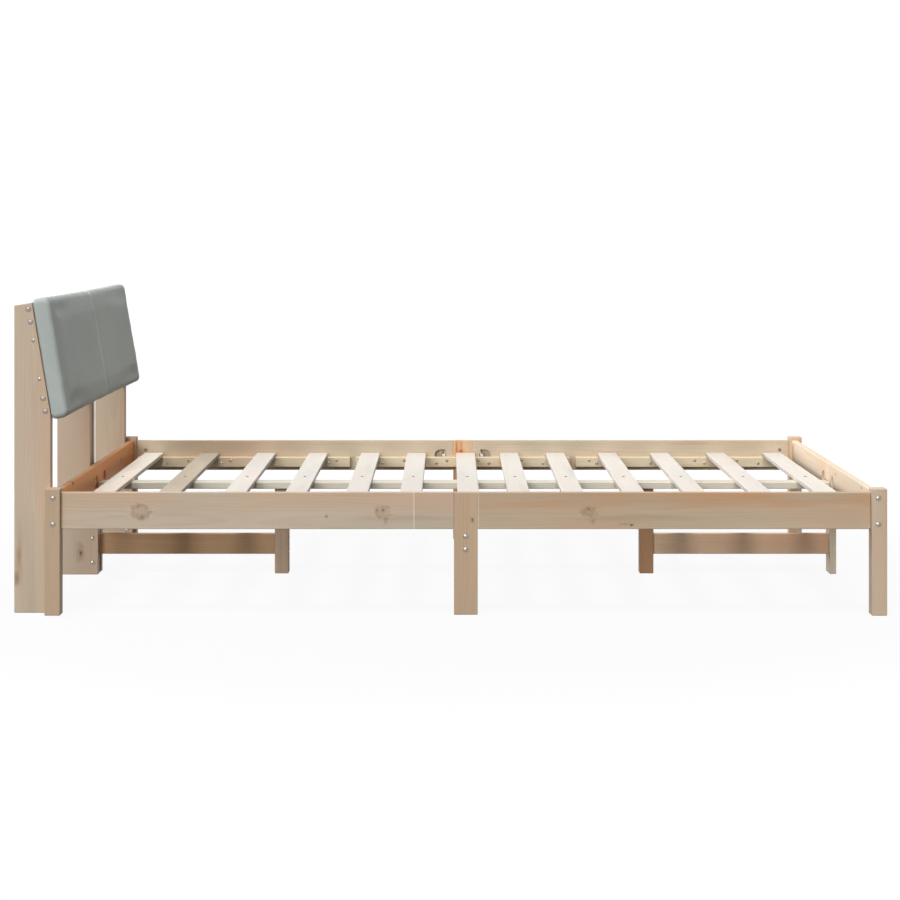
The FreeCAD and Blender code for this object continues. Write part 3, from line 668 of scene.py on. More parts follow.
    def _knots(self, graph: Graph, along: Value, across: Value) -> tuple[Value, Value]:
        """Knots in some cells of a stretched grid.

        Args:
            graph: the material's nodes.
            along: place along the grain.
            across: place across the board.

        Returns:
            The knots themselves, and a wider field around them from zero to one.
        """
        u = along / self.KNOT_STEP + self.KNOT_STEP_VARY * self.seed
        v = across / self.KNOT_ROW + self.KNOT_ROW_VARY * self.seed
        cell = graph.node(
            "ShaderNodeTexVoronoi",
            {"voronoi_dimensions": "2D", "feature": "F1"},
            {"Vector": graph.vector(u, v, 0.0), "Scale": 1.0, "Randomness": self.KNOT_SCATTER},
            "Position",
        )
        middle = graph.parts(cell)
        drawn = Value(graph, cell.socket.node.outputs["Color"])
        chances = graph.parts(drawn, "ShaderNodeSeparateColor")
        du = (u - middle[0]) * self.KNOT_STEP
        dv = (v - middle[1]) * self.KNOT_ROW
        there = chances[0].over(1.0 - self.tone.knots)
        radius = self.KNOT_LEAST + self.KNOT_RANGE * chances[1]
        reach = (du * du * self.KNOT_STRETCH + dv * dv).root() / radius
        return reach.rise(*self.KNOT_EDGE) * there, reach.rise(*self.KNOT_FIELD) * there

    def _marked(
        self, graph: Graph, along: Value, across: Value
    ) -> tuple[Value | float, Value | float]:
        """The marks that sit at given places of this board.

        Args:
            graph: the material's nodes.
            along: place along the grain.
            across: place across the board.

        Returns:
            How strongly the marks colour the wood, and a wider field around them.
        """
        stain, halo = 0.0, 0.0
        if not self.marks:
            return stain, halo
        first, second = self.RAGGED_RATE
        shift = self.RAGGED_VARY * self.seed
        ragged = graph.noise(along * first, across * second, shift, detail=2.0) - NOISE_MIDDLE
        first, second = self.PATCHY_RATE
        shift = self.PATCHY_VARY * self.seed
        patchy = graph.noise(along * first, across * second, shift, detail=1.0)
        for mark in self.marks:
            du = (along - (mark.along - self.centre[self.run.value])) / mark.length
            dv = (across - (mark.across - self.centre[self.wide.value])) / mark.width
            reach = (du * du + dv * dv).root() + ragged * self.RAGGED
            rim = reach.rise(*self.RIM_OUT) * reach.rise(*self.RIM_IN) * patchy.rise(*self.PATCHY)
            filled = reach.rise(*self.FILL) * (1.0 - self.FILL_LOSS * mark.hollow)
            stain = stain + (filled + rim * (self.RIM_SHARE * mark.hollow)) * mark.share
            halo = halo + reach.rise(*self.FIELD) * self.FIELD_SHARE
        return stain, halo

    def _rings(self, own: tuple[Value, ...], slow: Value, near: Value) -> Value:
        """Latewood lines about the pith.

        Args:
            own: place along the grain, across the broad face and through the board.
            slow: slow noise that bends the rings.
            near: field around the knots, which push the rings aside.

        Returns:
            One in the dark latewood, zero in the pale wood.
        """
        along, across, deep = own
        turn = self.PITH_TURN_VARY * self.seed
        offset = self.PITH_REACH + self.PITH_SWAY * math.sin(self.PITH_SWAY_VARY * self.seed)
        pith_across = offset * math.cos(turn)
        pith_deep = self.PITH_BACK + abs(offset * math.sin(turn))
        tilt = self.TILT * math.sin(self.TILT_VARY * self.seed + self.TILT_START)
        sideways = across - pith_across - along * tilt
        inward = deep + pith_deep - along * (tilt * self.TILT_INWARD)
        radius = (sideways * sideways + inward * inward).root()
        radius = radius + (slow - NOISE_MIDDLE) * self.BEND + near * self.KNOT_PUSH
        uneven = (radius * self.UNEVEN_RATE + self.UNEVEN_VARY * self.seed).sine() * self.UNEVEN
        phase = ((radius + uneven) / self.RING).fraction()
        return phase.rise(*self.LATE_START) * phase.rise(*self.LATE_END)


@dataclass(frozen=True)
class Cloth:
    """Woven upholstery cloth, its threads along the headboard's own directions, with a painted
    highlight along the seam.
    """

    name: str
    colour: Colour
    light: Colour
    dark: Colour
    # Colour of the painted highlight along the seam
    seam_highlight: Colour
    lean: float
    thread: float = 0.0011

    # Lumps per metre across a yarn, along it, and of the broad patches
    YARN = 700.0
    YARN_LENGTH = 24.0
    PATCH = 9.0
    LIGHT_THREADS = Blend(-0.2, 0.9, 0.30)
    DARK_THREADS = Blend(0.1, -0.9, 0.35)
    LIGHT_WARP = Blend(0.45, 0.75, 0.30)
    DARK_WEFT = Blend(0.55, 0.25, 0.30)
    LIGHT_PATCH = Blend(0.40, 0.75, 0.16)
    # Where the painted highlight along the seam comes in
    SEAM = Blend(0.0130, 0.0030, 0.60)
    WEAVE_RELIEF = 0.6
    YARN_RELIEF = 0.3
    ROUGHNESS = 0.86
    YARN_ROUGHNESS = 0.08

    def material(self) -> bpy.types.Material:
        """Build the cloth's material.

        Returns:
            The finished material.
        """
        graph = Graph(bpy.data.materials.new(self.name))
        where = graph.node("ShaderNodeTexCoord", {}, {}, "Object")
        turned = graph.node(
            "ShaderNodeMapping",
            {"vector_type": "POINT"},
            {"Vector": where, "Rotation": (0.0, math.radians(self.lean), 0.0)},
        )
        out, across, up = graph.parts(turned)
        slant = up + out
        wave = math.pi / self.thread
        weave = (across * wave).sine() * (slant * wave).sine()
        fine, slow, broad = self.YARN, self.YARN_LENGTH, self.PATCH
        warp = graph.noise(across * fine, slant * slow, out * slow, detail=2.0)
        weft = graph.noise(across * slow, slant * fine, out * slow, detail=2.0)
        patch = graph.noise(across * broad, slant * broad, out * broad, detail=4.0)
        colour = graph.mix(self.LIGHT_THREADS.of(weave), self.colour, self.light)
        colour = graph.mix(self.DARK_THREADS.of(weave), colour, self.dark)
        colour = graph.mix(self.LIGHT_WARP.of(warp), colour, self.light)
        colour = graph.mix(self.DARK_WEFT.of(weft), colour, self.dark)
        colour = graph.mix(self.LIGHT_PATCH.of(patch), colour, self.light)
        # Painted highlight along the seam, where its hollow catches the light
        colour = graph.mix(self.SEAM.of(across.size()), colour, self.seam_highlight)
        height = weave * self.WEAVE_RELIEF + warp * self.YARN_RELIEF + weft * self.YARN_RELIEF
        return graph.surface(
            {
                "Base Color": colour,
                "Roughness": self.ROUGHNESS + self.YARN_ROUGHNESS * warp,
                "Normal": graph.bump(height, strength=0.35, distance=0.0005),
                "Specular IOR Level": 0.25,
                "Sheen Weight": 0.18,
                "Sheen Roughness": 0.45,
            }
        )


@dataclass(frozen=True)
class Zinc:
    """Zinc-plated steel with fine turning marks and dull patches."""

    name: str
    colour: Colour
    roughness: float

    # Lumps per metre of the dull patches, and of the turning marks on the level and upwards
    PATCH = 320.0
    MARK_LEVEL = 900.0
    MARK_UP = 2600.0
    DULL_TINT = (0.72, 0.72, 0.72)
    DULL = Blend(0.38, 0.72, 0.5)
    PATCH_ROUGHNESS = 0.16

    def material(self) -> bpy.types.Material:
        """Build the metal's material.

        Returns:
            The finished material.
        """
        graph = Graph(bpy.data.materials.new(self.name))
        x, y, z = graph.place()
        patch = graph.noise(x * self.PATCH, y * self.PATCH, z * self.PATCH, detail=3.0)
        level = self.MARK_LEVEL
        marks = graph.noise(x * level, y * level, z * self.MARK_UP, detail=2.0)
        dull = tinted(self.colour, self.DULL_TINT)
        return graph.surface(
            {
                "Base Color": graph.mix(self.DULL.of(patch), self.colour, dull),
                "Metallic": 1.0,
                "Roughness": self.roughness + self.PATCH_ROUGHNESS * patch,
                "Normal": graph.bump(marks, strength=0.08, distance=0.0002),
            }
        )


class Finishes:
    """Materials that several pieces share, each made once."""

    def __init__(self) -> None:
        """Make the shared materials."""
        self.zinc = Zinc("zinc_plated_steel", (0.36, 0.32, 0.28), 0.24).material()
        self.screw = Zinc("screw_steel", (0.36, 0.32, 0.27), 0.24).material()
        # Paler steel for the half-moon nuts: partly painted light that lifts them out of the shade of
        # their recesses
        self.bright = Zinc("nut_steel_with_painted_light", (0.78, 0.77, 0.74), 0.28).material()
        self.thread = Zinc("stud_steel", (0.20, 0.18, 0.16), 0.30).material()


class Modeller:
    """Small helpers around Blender's own modelling operators."""

    @staticmethod
    def clear() -> None:
        """Leave edit mode and deselect everything."""
        if bpy.context.object and bpy.context.object.mode != "OBJECT":
            bpy.ops.object.mode_set(mode="OBJECT")
        bpy.ops.object.select_all(action="DESELECT")

    @staticmethod
    def hold(item: bpy.types.Object) -> None:
        """Make one object the only selected and active one."""
        Modeller.clear()
        item.select_set(True)
        bpy.context.view_layer.objects.active = item

    @staticmethod
    def apply(item: bpy.types.Object, kind: str, settings: dict[str, object]) -> None:
        """Add one modifier and apply it.

        Args:
            item: the object.
            kind: Blender's type of the modifier.
            settings: the modifier's properties.
        """
        Modeller.hold(item)
        made = item.modifiers.new(kind.title(), kind)
        for key, setting in settings.items():
            setattr(made, key, setting)
        bpy.ops.object.modifier_apply(modifier=made.name)

    @staticmethod
    def pick(item: bpy.types.Object, kind: str, wanted: Callable[[object], bool]) -> None:
        """Select faces or edges of the object in edit mode by a test on them.

        Args:
            item: the object, in edit mode.
            kind: "faces" or "edges".
            wanted: test on one face or edge.
        """
        mesh = bmesh.from_edit_mesh(item.data)
        for part in (*mesh.verts, *mesh.edges, *mesh.faces):
            part.select_set(False)
        for part in [part for part in getattr(mesh, kind) if wanted(part)]:
            part.select_set(True)
        bmesh.update_edit_mesh(item.data)

    @staticmethod
    def dress(item: bpy.types.Object, material: bpy.types.Material) -> None:
        """Give an object one material."""
        item.data.materials.clear()
        item.data.materials.append(material)

    @staticmethod
    def finish(item: bpy.types.Object, name: str, material: bpy.types.Material, slot: str) -> None:
        """Name a piece, dress it and let it ride on the bed.

        Args:
            item: the object.
            name: its name.
            material: its material.
            slot: the record's material slot; not used.
        """
        Modeller.clear()
        item.name = name
        item.data.name = name
        Modeller.dress(item, material)
        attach(item, BODY)
        LOG.info("%s: %d faces", name, len(item.data.polygons))


@dataclass
class Woodwork:
    """All the boards of the bed and of the headboard, which keep their CAD shapes."""

    nodes: dict[str, bpy.types.Object]
    glued_board: str = "side_rail_right_head"
    glue_line: float = -0.087
    # The board whose rounded end gets a painted highlight
    highlit_board: str = "side_rail_right_foot"

    def dress(self) -> None:
        """Give every board its own piece of pine."""
        for seed, name in enumerate(sorted(self.nodes), start=1):
            tone = self._tone(name)
            if tone:
                self._paint(name, tone, seed)

    @staticmethod
    def _tone(name: str) -> PineTone | None:
        """The tone of a board by its name, or nothing for what isn't a board."""
        return next((tone for start, tone in TONES.items() if name.startswith(start)), None)

    def _paint(self, name: str, tone: PineTone, seed: int) -> None:
        """Make a board's material and put it on.

        Args:
            name: the node.
            tone: the board's tone.
            seed: number that sets this board's rings and knots apart.
        """
        low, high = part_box(name)
        _, wide, run = sorted(Axis, key=lambda axis: high[axis.value] - low[axis.value])
        pine = Pine(
            "pine_" + name,
            run,
            wide,
            tuple((low + high) / 2),
            tone,
            seed,
            marks=MARKS.get(name, ()),
            glued_at=self.glue_line if name == self.glued_board else None,
            highlight_at=low.x if name == self.highlit_board else None,
        )
        Modeller.dress(self.nodes[name], pine.material())
        LOG.info("%s: pine along %s", name, run.name)


@dataclass
class Fasteners:
    """The bolts, nuts and studs, which keep their CAD shapes."""

    nodes: dict[str, bpy.types.Object]
    finishes: Finishes

    def dress(self) -> None:
        """Give every group its metal."""
        metals = {
            "frame_bolts": self.finishes.zinc,
            "headboard_bolts": self.finishes.zinc,
            "barrel_nuts": self.finishes.zinc,
            # The half-moon nuts get the paler steel with painted light
            "half_moon_nuts": self.finishes.bright,
            "joint_studs": self.finishes.thread,
        }
        for name, metal in metals.items():
            Modeller.dress(self.nodes[name], metal)
            LOG.info("%s: %s", name, metal.name)


@dataclass
class Screws:
    """Small wood screws with domed heads and cross recesses, seated in the boards.

    Places along the bed are counted from the middle of the mattress well.
    """

    finishes: Finishes
    radius: float = 0.0044
    lift: float = 0.0016
    sunk: float = 0.0016
    sides: int = 24
    rings: int = 4
    dome_share: float = 0.8
    foot_share: float = 0.6
    slot: Triple = (0.0040, 0.0011, 0.0040)
    slot_taper: Triple = (0.5, 0.7, 1.0)
    turn_step: float = 0.7
    slats: int = 13
    lower_start: float = 0.080
    lower_step: float = 0.163
    lower_count: int = 6
    lower_height: float = 0.0110
    upper_reaches: tuple[float, ...] = (0.048, 0.178, 0.383, 0.703, 0.831)
    upper_depth: float = 0.0100
    upright_spots: tuple[tuple[float, float], ...] = ((-1.0648, 0.6701), (-1.0493, 0.5751))

    def build(self) -> None:
        """Model one screw and set its copies out in three groups."""
        pattern = self._pattern()
        dark, bright = self.finishes.thread, self.finishes.screw
        self._group(pattern, "slat_screws", self._slat_places(), dark)
        self._group(pattern, "ledger_screws", self._ledger_places(), bright)
        self._group(pattern, "upright_screws", self._upright_places(), bright)
        bpy.data.objects.remove(pattern)

    def _pattern(self) -> bpy.types.Object:
        """One screw head that looks along +Z, with a cross recess.

        Returns:
            The modelled head.
        """
        Modeller.clear()
        bpy.ops.mesh.primitive_cylinder_add(
            vertices=self.sides, radius=self.radius, depth=self.sunk, location=(0, 0, -self.sunk / 2)
        )
        head = bpy.context.object
        bpy.ops.object.transform_apply(location=True, rotation=True, scale=True)
        bpy.ops.object.mode_set(mode="EDIT")
        Modeller.pick(head, "faces", lambda face: face.normal.z > FACING)
        for step in range(1, self.rings + 1):
            bpy.ops.mesh.inset(thickness=self.radius * self.dome_share / self.rings)
            rise = self.lift * (2 * (self.rings - step) + 1) / self.rings ** 2
            bpy.ops.transform.translate(value=(0, 0, rise))
        Modeller.pick(head, "faces", lambda face: face.normal.z < -FACING)
        bpy.ops.transform.resize(
            value=(self.foot_share, self.foot_share, 1.0), center_override=(0, 0, -self.sunk)
        )
        bpy.ops.object.mode_set(mode="OBJECT")
        self._combine(head, self._cross(), "DIFFERENCE")
        return head

    def _cross(self) -> bpy.types.Object:
        """The cutter for a cross recess: two bars that cross, narrowed downwards.

        Returns:
            The cutter.
        """
        bars = []
        depth = self.slot[2]
        for turn in (0.0, math.pi / 2):
            Modeller.clear()
            bpy.ops.mesh.primitive_cube_add(size=1.0, location=(0, 0, 0))
            bar = bpy.context.object
            bpy.ops.object.mode_set(mode="EDIT")
            bpy.ops.mesh.select_all(action="SELECT")
            bpy.ops.transform.resize(value=self.slot, center_override=(0, 0, 0))
            Modeller.pick(bar, "faces", lambda face: face.normal.z < -FACING)
            bpy.ops.transform.resize(value=self.slot_taper, center_override=(0, 0, -depth / 2))
            bpy.ops.mesh.select_all(action="SELECT")
            bpy.ops.transform.translate(value=(0, 0, depth / 2))
            bpy.ops.object.mode_set(mode="OBJECT")
            bar.rotation_euler = (0, 0, turn)
            bpy.ops.object.transform_apply(location=True, rotation=True, scale=True)
            bars.append(bar)
        self._combine(bars[0], bars[1], "UNION")
        return bars[0]

    @staticmethod
    def _combine(kept: bpy.types.Object, used: bpy.types.Object, operation: str) -> None:
        """Join or cut one object with another, which is used up."""
        Modeller.apply(kept, "BOOLEAN", {"operation": operation, "object": used, "solver": "EXACT"})
        bpy.data.objects.remove(used)

    def _group(
        self,
        pattern: bpy.types.Object,
        name: str,
        places: list[tuple[Vector, Vector]],
        metal: bpy.types.Material,
    ) -> None:
        """Copy the pattern to many places and join the copies.

        Args:
            pattern: the modelled screw.
            name: name of the group.
            places: for each screw its place on a face and that face's normal.
            metal: the screws' material.
        """
        copies = []
        for number, (where, normal) in enumerate(places):
            copy = bpy.data.objects.new(name, pattern.data.copy())
            bpy.context.scene.collection.objects.link(copy)
            turn = Matrix.Rotation(self.turn_step * number, 4, "Z")
            facing = normal.to_track_quat("Z", "Y").to_matrix().to_4x4()
            copy.data.transform(Matrix.Translation(where) @ facing @ turn)
            copies.append(copy)
        Modeller.hold(copies[0])
        for copy in copies:
            copy.select_set(True)
        bpy.ops.object.join()
        Modeller.finish(bpy.context.object, name, metal, "zinc_steel")

    def _slat_places(self) -> list[tuple[Vector, Vector]]:
        """One screw in the middle of each slat, over the beam.

        Returns:
            Places and normals.
        """
        places = []
        for number in range(1, self.slats + 1):
            low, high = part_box("slat_%02d" % number)
            places.append((Vector(((low.x + high.x) / 2, 0.0, high.z)), Vector((0, 0, 1))))
        return places

    def _ledger_places(self) -> list[tuple[Vector, Vector]]:
        """Two rows of screws in the inner faces of the ledgers.

        Returns:
            Places and normals.
        """
        reaches = [self.lower_start + self.lower_step * step for step in range(self.lower_count)]
        lower = [end * reach for end in (-1, 1) for reach in reaches]
        upper = [end * reach for end in (-1, 1) for reach in self.upper_reaches]
        places = []
        for side, inward in (("right", 1), ("left", -1)):
            low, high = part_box("ledger_%s_middle" % side)
            face = high.y if inward > 0 else low.y
            rows = ((lower, low.z + self.lower_height), (upper, high.z - self.upper_depth))
            for row, height in rows:
                places += [
                    (Vector((MIDDLE_X + x, face, height)), Vector((0, inward, 0))) for x in row
                ]
        return places

    def _upright_places(self) -> list[tuple[Vector, Vector]]:
        """Two screws in the outer face of each outer upright, between the bolts.

        Returns:
            Places and normals.
        """
        places = []
        for side, outward in (("right", -1), ("left", 1)):
            low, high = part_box("upright_" + side)
            face = high.y if outward > 0 else low.y
            for x, z in self.upright_spots:
                places.append((Vector((MIDDLE_X + x, face, z)), Vector((0, outward, 0))))
        return places


@dataclass(frozen=True)
class Ripple:
    """An uneven wave along a sewn edge: a long one that sways, and a short one on it."""

    length: float
    sway: float
    sway_length: float
    short_length: float
    short_share: float
    short_start: float

    def at(self, place: np.ndarray) -> np.ndarray:
        """The wave's height at each place along the edge."""
        long = np.sin(place / self.length + self.sway * np.sin(place / self.sway_length))
        return long + self.short_share * np.sin(place / self.short_length + self.short_start)


def hump(distance: np.ndarray, width: float) -> np.ndarray:
    """One where a distance is zero, and nearly nothing past twice the width."""
    return np.exp(-((distance / width) ** 2))


@dataclass
class Cushion:
    """The stuffed cushion on the slanted headboard, with a sewn seam in its middle.

    It is modelled upright with its back on X = 0, its lower edge on Z = 0, and leant at the end.
    """

    half_width: float = 0.5920
    height: float = 0.3059
    back: float = 0.0003
    rim: float = 0.0432
    corner: float = 0.016
    end_corner: float = 0.012
    tuck: float = 0.004
    front_limit: float = 0.0525
    spare: float = 0.001
    swell: float = 0.0040
    firmness: float = 0.85
    edge_hold: float = 0.055
    least_slack: float = 0.2
    voxel: float = 0.006
    evening: int = 24
    lean: float = 9.5
    start: Triple = (-1.022 + MIDDLE_X, 0.0, 0.485)
    overhang: float = 0.013
    draw_in: float = 0.019
    pressure: float = 4.0
    frames: int = 20

    # The cover in the simulation; points within this share of a voxel are held
    COVER = {
        "quality": 6,
        "mass": 0.25,
        "tension_stiffness": 20.0,
        "compression_stiffness": 12.0,
        "bending_stiffness": 0.6,
        "vertex_group_mass": "held",
        "use_pressure": True,
    }
    HELD = 0.6
    SMALLEST = 1e-9

    # The seam: lines cut along it, its wide and its narrow hollow, and the gathers in the narrow one
    SEAM_LINES = (-0.0060, -0.0036, -0.0016, 0.0, 0.0016, 0.0036, 0.0060)
    HOLLOW = 0.0014
    HOLLOW_WIDTH = 0.0240
    SEAM = 0.0032
    SEAM_WIDTH = 0.0042
    GATHER = Ripple(0.0085, 0.0, 1.0, 0.0047, 0.6, 1.3)
    GATHER_SHARE = 0.25

    # The cover moves freely from this distance in front of the wood, over this stretch
    FREE_FROM = 0.006
    FREE_OVER = 0.012

    # Puckers along the upper and lower edge, most of them near the seam
    PUCKER = Ripple(0.0190, 1.4, 0.071, 0.0093, 0.6, 0.5)
    PUCKER_RISE = 0.0010
    PUCKER_OUT = 0.0008
    UPPER_WIDTH = 0.022
    LOWER_WIDTH = 0.020
    LOWER_SHARE = 0.6
    NEAR_SEAM = 0.6
    NEAR_WIDTH = 0.20

    # Small folds at the ends of the front, and slow dents all over it
    FOLD = Ripple(0.0130, 1.1, 0.057, 0.0068, 0.8, 0.8)
    FOLD_OUT = 0.0003
    FOLD_ASIDE = 0.0002
    FOLD_WIDTH = 0.020
    FOLD_FROM = 0.5
    FOLD_OVER = 0.4
    DENT = 0.0007
    DENT_ACROSS = 0.083
    DENT_START = 0.4
    DENT_UP = 0.047

    def build(self) -> None:
        """Model, inflate and sew the cushion, and put it on the headboard."""
        pad = self._block()
        Modeller.apply(pad, "REMESH", {"mode": "VOXEL", "voxel_size": self.voxel})
        self._inflate(pad)
        self._sew(pad)
        self._settle(pad)
        Modeller.hold(pad)
        bpy.ops.object.shade_smooth()
        self._lean_back(pad)
        cloth = Cloth(
            "grey_green_cloth",
            colour=(0.460, 0.500, 0.470),
            light=(0.570, 0.610, 0.575),
            dark=(0.330, 0.365, 0.340),
            # The pale seam colour is a painted highlight along the seam's hollow
            seam_highlight=(0.720, 0.760, 0.725),
            lean=self.lean,
        )
        Modeller.finish(pad, "headboard_cushion", cloth.material(), "padding_fabric")
        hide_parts("cushion")

    def _block(self) -> bpy.types.Object:
        """The cut foam: a block with round long edges in front, and eased ends.

        Returns:
            The block.
        """
        Modeller.clear()
        bpy.ops.mesh.primitive_cube_add(size=1.0, location=(0, 0, 0))
        pad = bpy.context.object
        bpy.ops.object.mode_set(mode="EDIT")
        bpy.ops.mesh.select_all(action="SELECT")
        bpy.ops.transform.resize(
            value=(self.rim - self.back, 2 * self.half_width - self.tuck, self.height - self.tuck),
            center_override=(0, 0, 0),
        )
        middle = (self.rim + self.back) / 2
        bpy.ops.transform.translate(value=(middle, 0, self.height / 2))
        Modeller.pick(
            pad,
            "edges",
            lambda edge: all(vert.co.x > middle for vert in edge.verts)
            and edge.verts[0].co.y * edge.verts[1].co.y < 0,
        )
        bpy.ops.mesh.bevel(offset=self.corner, segments=6, profile=0.5, affect="EDGES")
        end = self.half_width - self.tuck
        Modeller.pick(
            pad,
            "edges",
            lambda edge: any(vert.co.x > middle for vert in edge.verts)
            and all(abs(vert.co.y) > end for vert in edge.verts)
            and edge.verts[0].co.y * edge.verts[1].co.y > 0,
        )
        bpy.ops.mesh.bevel(offset=self.end_corner, segments=4, profile=0.5, affect="EDGES")
        bpy.ops.object.mode_set(mode="OBJECT")
        return pad

    @staticmethod
    def _points(item: bpy.types.Object, kind: str = "co") -> np.ndarray:
        """The mesh's points, or their normals.

        Args:
            item: the object.
            kind: "co" for points, "normal" for normals.

        Returns:
            An array with a row for each point.
        """
        flat = np.empty(len(item.data.vertices) * 3, np.float32)
        item.data.vertices.foreach_get(kind, flat)
        return flat.reshape(-1, 3)

    @staticmethod
    def _move(item: bpy.types.Object, points: np.ndarray) -> None:
        """Write an array of points back to the mesh."""
        item.data.vertices.foreach_set("co", np.ascontiguousarray(points, np.float32).ravel())
        item.data.update()

    def _inflate(self, pad: bpy.types.Object) -> None:
        """Let the cover swell under pressure, held at its back and along the seam.

        The foam inside lets it sink only a little where the swelling draws it in, and the sewn
        edges give less than the middle does.

        Args:
            pad: the remeshed block.
        """
        before = self._points(pad)
        normals = self._points(pad, "normal")
        near = self.HELD * self.voxel
        on_back = before[:, 0] < self.back + near
        on_seam = (np.abs(before[:, 1]) < near) & (before[:, 0] > self.rim / 2)
        held = pad.vertex_groups.new(name="held")
        held.add([int(index) for index in np.nonzero(on_back | on_seam)[0]], 1.0, "REPLACE")
        step = self._evened(pad, self._simulated(pad) - before)
        inward = np.minimum((step * normals).sum(axis=1, keepdims=True), 0.0)
        step = step - normals * inward * self.firmness
        length = np.linalg.norm(step, axis=1, keepdims=True)
        share = np.tanh(length / self.swell) * self.swell / np.maximum(length, self.SMALLEST)
        inside = np.minimum(before[:, 2], self.height - before[:, 2])
        inside = np.minimum(inside, self.half_width - np.abs(before[:, 1]))
        slack = np.clip(inside / self.edge_hold, self.least_slack, 1.0)[:, None]
        self._move(pad, before + step * share * slack)
        LOG.info("cushion: swollen by up to %.1f mm", MM_PER_M * float(length.max()))

    def _simulated(self, pad: bpy.types.Object) -> np.ndarray:
        """Run the simulation and apply it.

        Args:
            pad: the remeshed block with its held points.

        Returns:
            The points after it.
        """
        cover = pad.modifiers.new("Cover", "CLOTH")
        for key, setting in self.COVER.items():
            setattr(cover.settings, key, setting)
        cover.settings.uniform_pressure_force = self.pressure
        cover.settings.effector_weights.gravity = 0.0
        cover.point_cache.frame_start = 1
        cover.point_cache.frame_end = self.frames
        scene = bpy.context.scene
        for frame in range(1, self.frames + 1):
            scene.frame_set(frame)
        Modeller.hold(pad)
        bpy.ops.object.modifier_apply(modifier=cover.name)
        scene.frame_set(1)
        return self._points(pad)

    def _evened(self, pad: bpy.types.Object, step: np.ndarray) -> np.ndarray:
        """Even out how far neighbouring points move, as thick wadding under the cover does.

        Args:
            pad: the cover.
            step: how far each point moves.

        Returns:
            The evened steps.
        """
        edges = np.empty(len(pad.data.edges) * 2, np.int32)
        pad.data.edges.foreach_get("vertices", edges)
        first, second = edges.reshape(-1, 2).T
        count = np.bincount(edges, minlength=len(step))[:, None]
        for _ in range(self.evening):
            total = np.zeros(step.shape)
            np.add.at(total, first, step[second])
            np.add.at(total, second, step[first])
            step = total / count
        return step

    def _sew(self, pad: bpy.types.Object) -> None:
        """Subdivide the cover, cut lines along the seam, and draw it in with small puckers.

        The long edges also pull in between the corners.

        Args:
            pad: the swollen cover.
        """
        Modeller.apply(pad, "SUBSURF", {"levels": 1, "render_levels": 1})
        Modeller.hold(pad)
        for place in self.SEAM_LINES:
            bpy.ops.object.mode_set(mode="EDIT")
            bpy.ops.mesh.select_all(action="SELECT")
            bpy.ops.mesh.bisect(plane_co=(0, place, 0), plane_no=(0, 1, 0))
            bpy.ops.object.mode_set(mode="OBJECT")
        points = self._points(pad).astype(float)
        x, y, z = points.T.copy()
        free = np.clip((x - self.FREE_FROM) / self.FREE_OVER, 0.0, 1.0)
        gather = 1.0 + self.GATHER_SHARE * self.GATHER.at(z)
        seam = self.SEAM * hump(y, self.SEAM_WIDTH) * gather
        dent = np.sin(y / self.DENT_ACROSS + self.DENT_START) * np.sin(z / self.DENT_UP) * self.DENT
        points[:, 0] += free * (dent - self.HOLLOW * hump(y, self.HOLLOW_WIDTH) - seam)
        edge = hump(self.height - z, self.UPPER_WIDTH) + self.LOWER_SHARE * hump(z, self.LOWER_WIDTH)
        around = 1.0 - self.NEAR_SEAM + self.NEAR_SEAM * hump(y, self.NEAR_WIDTH)
        pucker = free * edge * around * self.PUCKER.at(y)
        points[:, 0] += pucker * self.PUCKER_OUT
        points[:, 2] += pucker * self.PUCKER_RISE * np.sign(z - self.height / 2)
        end = hump(self.half_width - np.abs(y), self.FOLD_WIDTH)
        front = np.clip((x / self.rim - self.FOLD_FROM) / self.FOLD_OVER, 0.0, 1.0)
        fold = front * end * self.FOLD.at(z)
        points[:, 0] += fold * self.FOLD_OUT
        points[:, 1] += fold * self.FOLD_ASIDE * np.sign(y)
        narrowing = 1.0 - self.draw_in * np.cos(0.5 * np.pi * y / self.half_width)
        points[:, 2] = self.height / 2 + (points[:, 2] - self.height / 2) * narrowing
        self._move(pad, points)

    def _settle(self, pad: bpy.types.Object) -> None:
        """Keep the cover flat on the wood behind it, and inside its box.

        Args:
            pad: the sewn cover.
        """
        side = self.half_width + self.spare
        low = (self.back, -side, 0.0)
        high = (self.front_limit, side, self.height + self.spare)
        self._move(pad, np.clip(self._points(pad), low, high))

    def _lean_back(self, pad: bpy.types.Object) -> None:
        """Lean the cushion on the slanted edges and leave its place in its mesh.

        Args:
            pad: the finished cover.
        """
        angle = math.radians(self.lean)
        rise = Vector((-math.sin(angle), 0.0, math.cos(angle)))
        foot = Vector(self.start) - rise * self.overhang
        pad.data.transform(Matrix.Translation(foot) @ Matrix.Rotation(-angle, 4, "Y"))
        pad.data.update()


@dataclass(frozen=True)
class Lamp:
    """A wide soft lamp far away.

    Towards is the way from the bed to it, and spread how wide it looks from there, in degrees.
    """

    name: str
    towards: Triple
    strength: float
    spread: float
    distance: float = 5.0

    def hang(self) -> None:
        """Make the lamp and turn it to the bed."""
        data = bpy.data.lights.new(self.name, "SUN")
        data.energy = self.strength
        data.angle = math.radians(self.spread)
        lamp = bpy.data.objects.new(self.name, data)
        bpy.context.scene.collection.objects.link(lamp)
        lamp.location = Vector(self.towards) * self.distance
        lamp.rotation_euler = Vector(self.towards).to_track_quat("Z", "Y").to_euler()


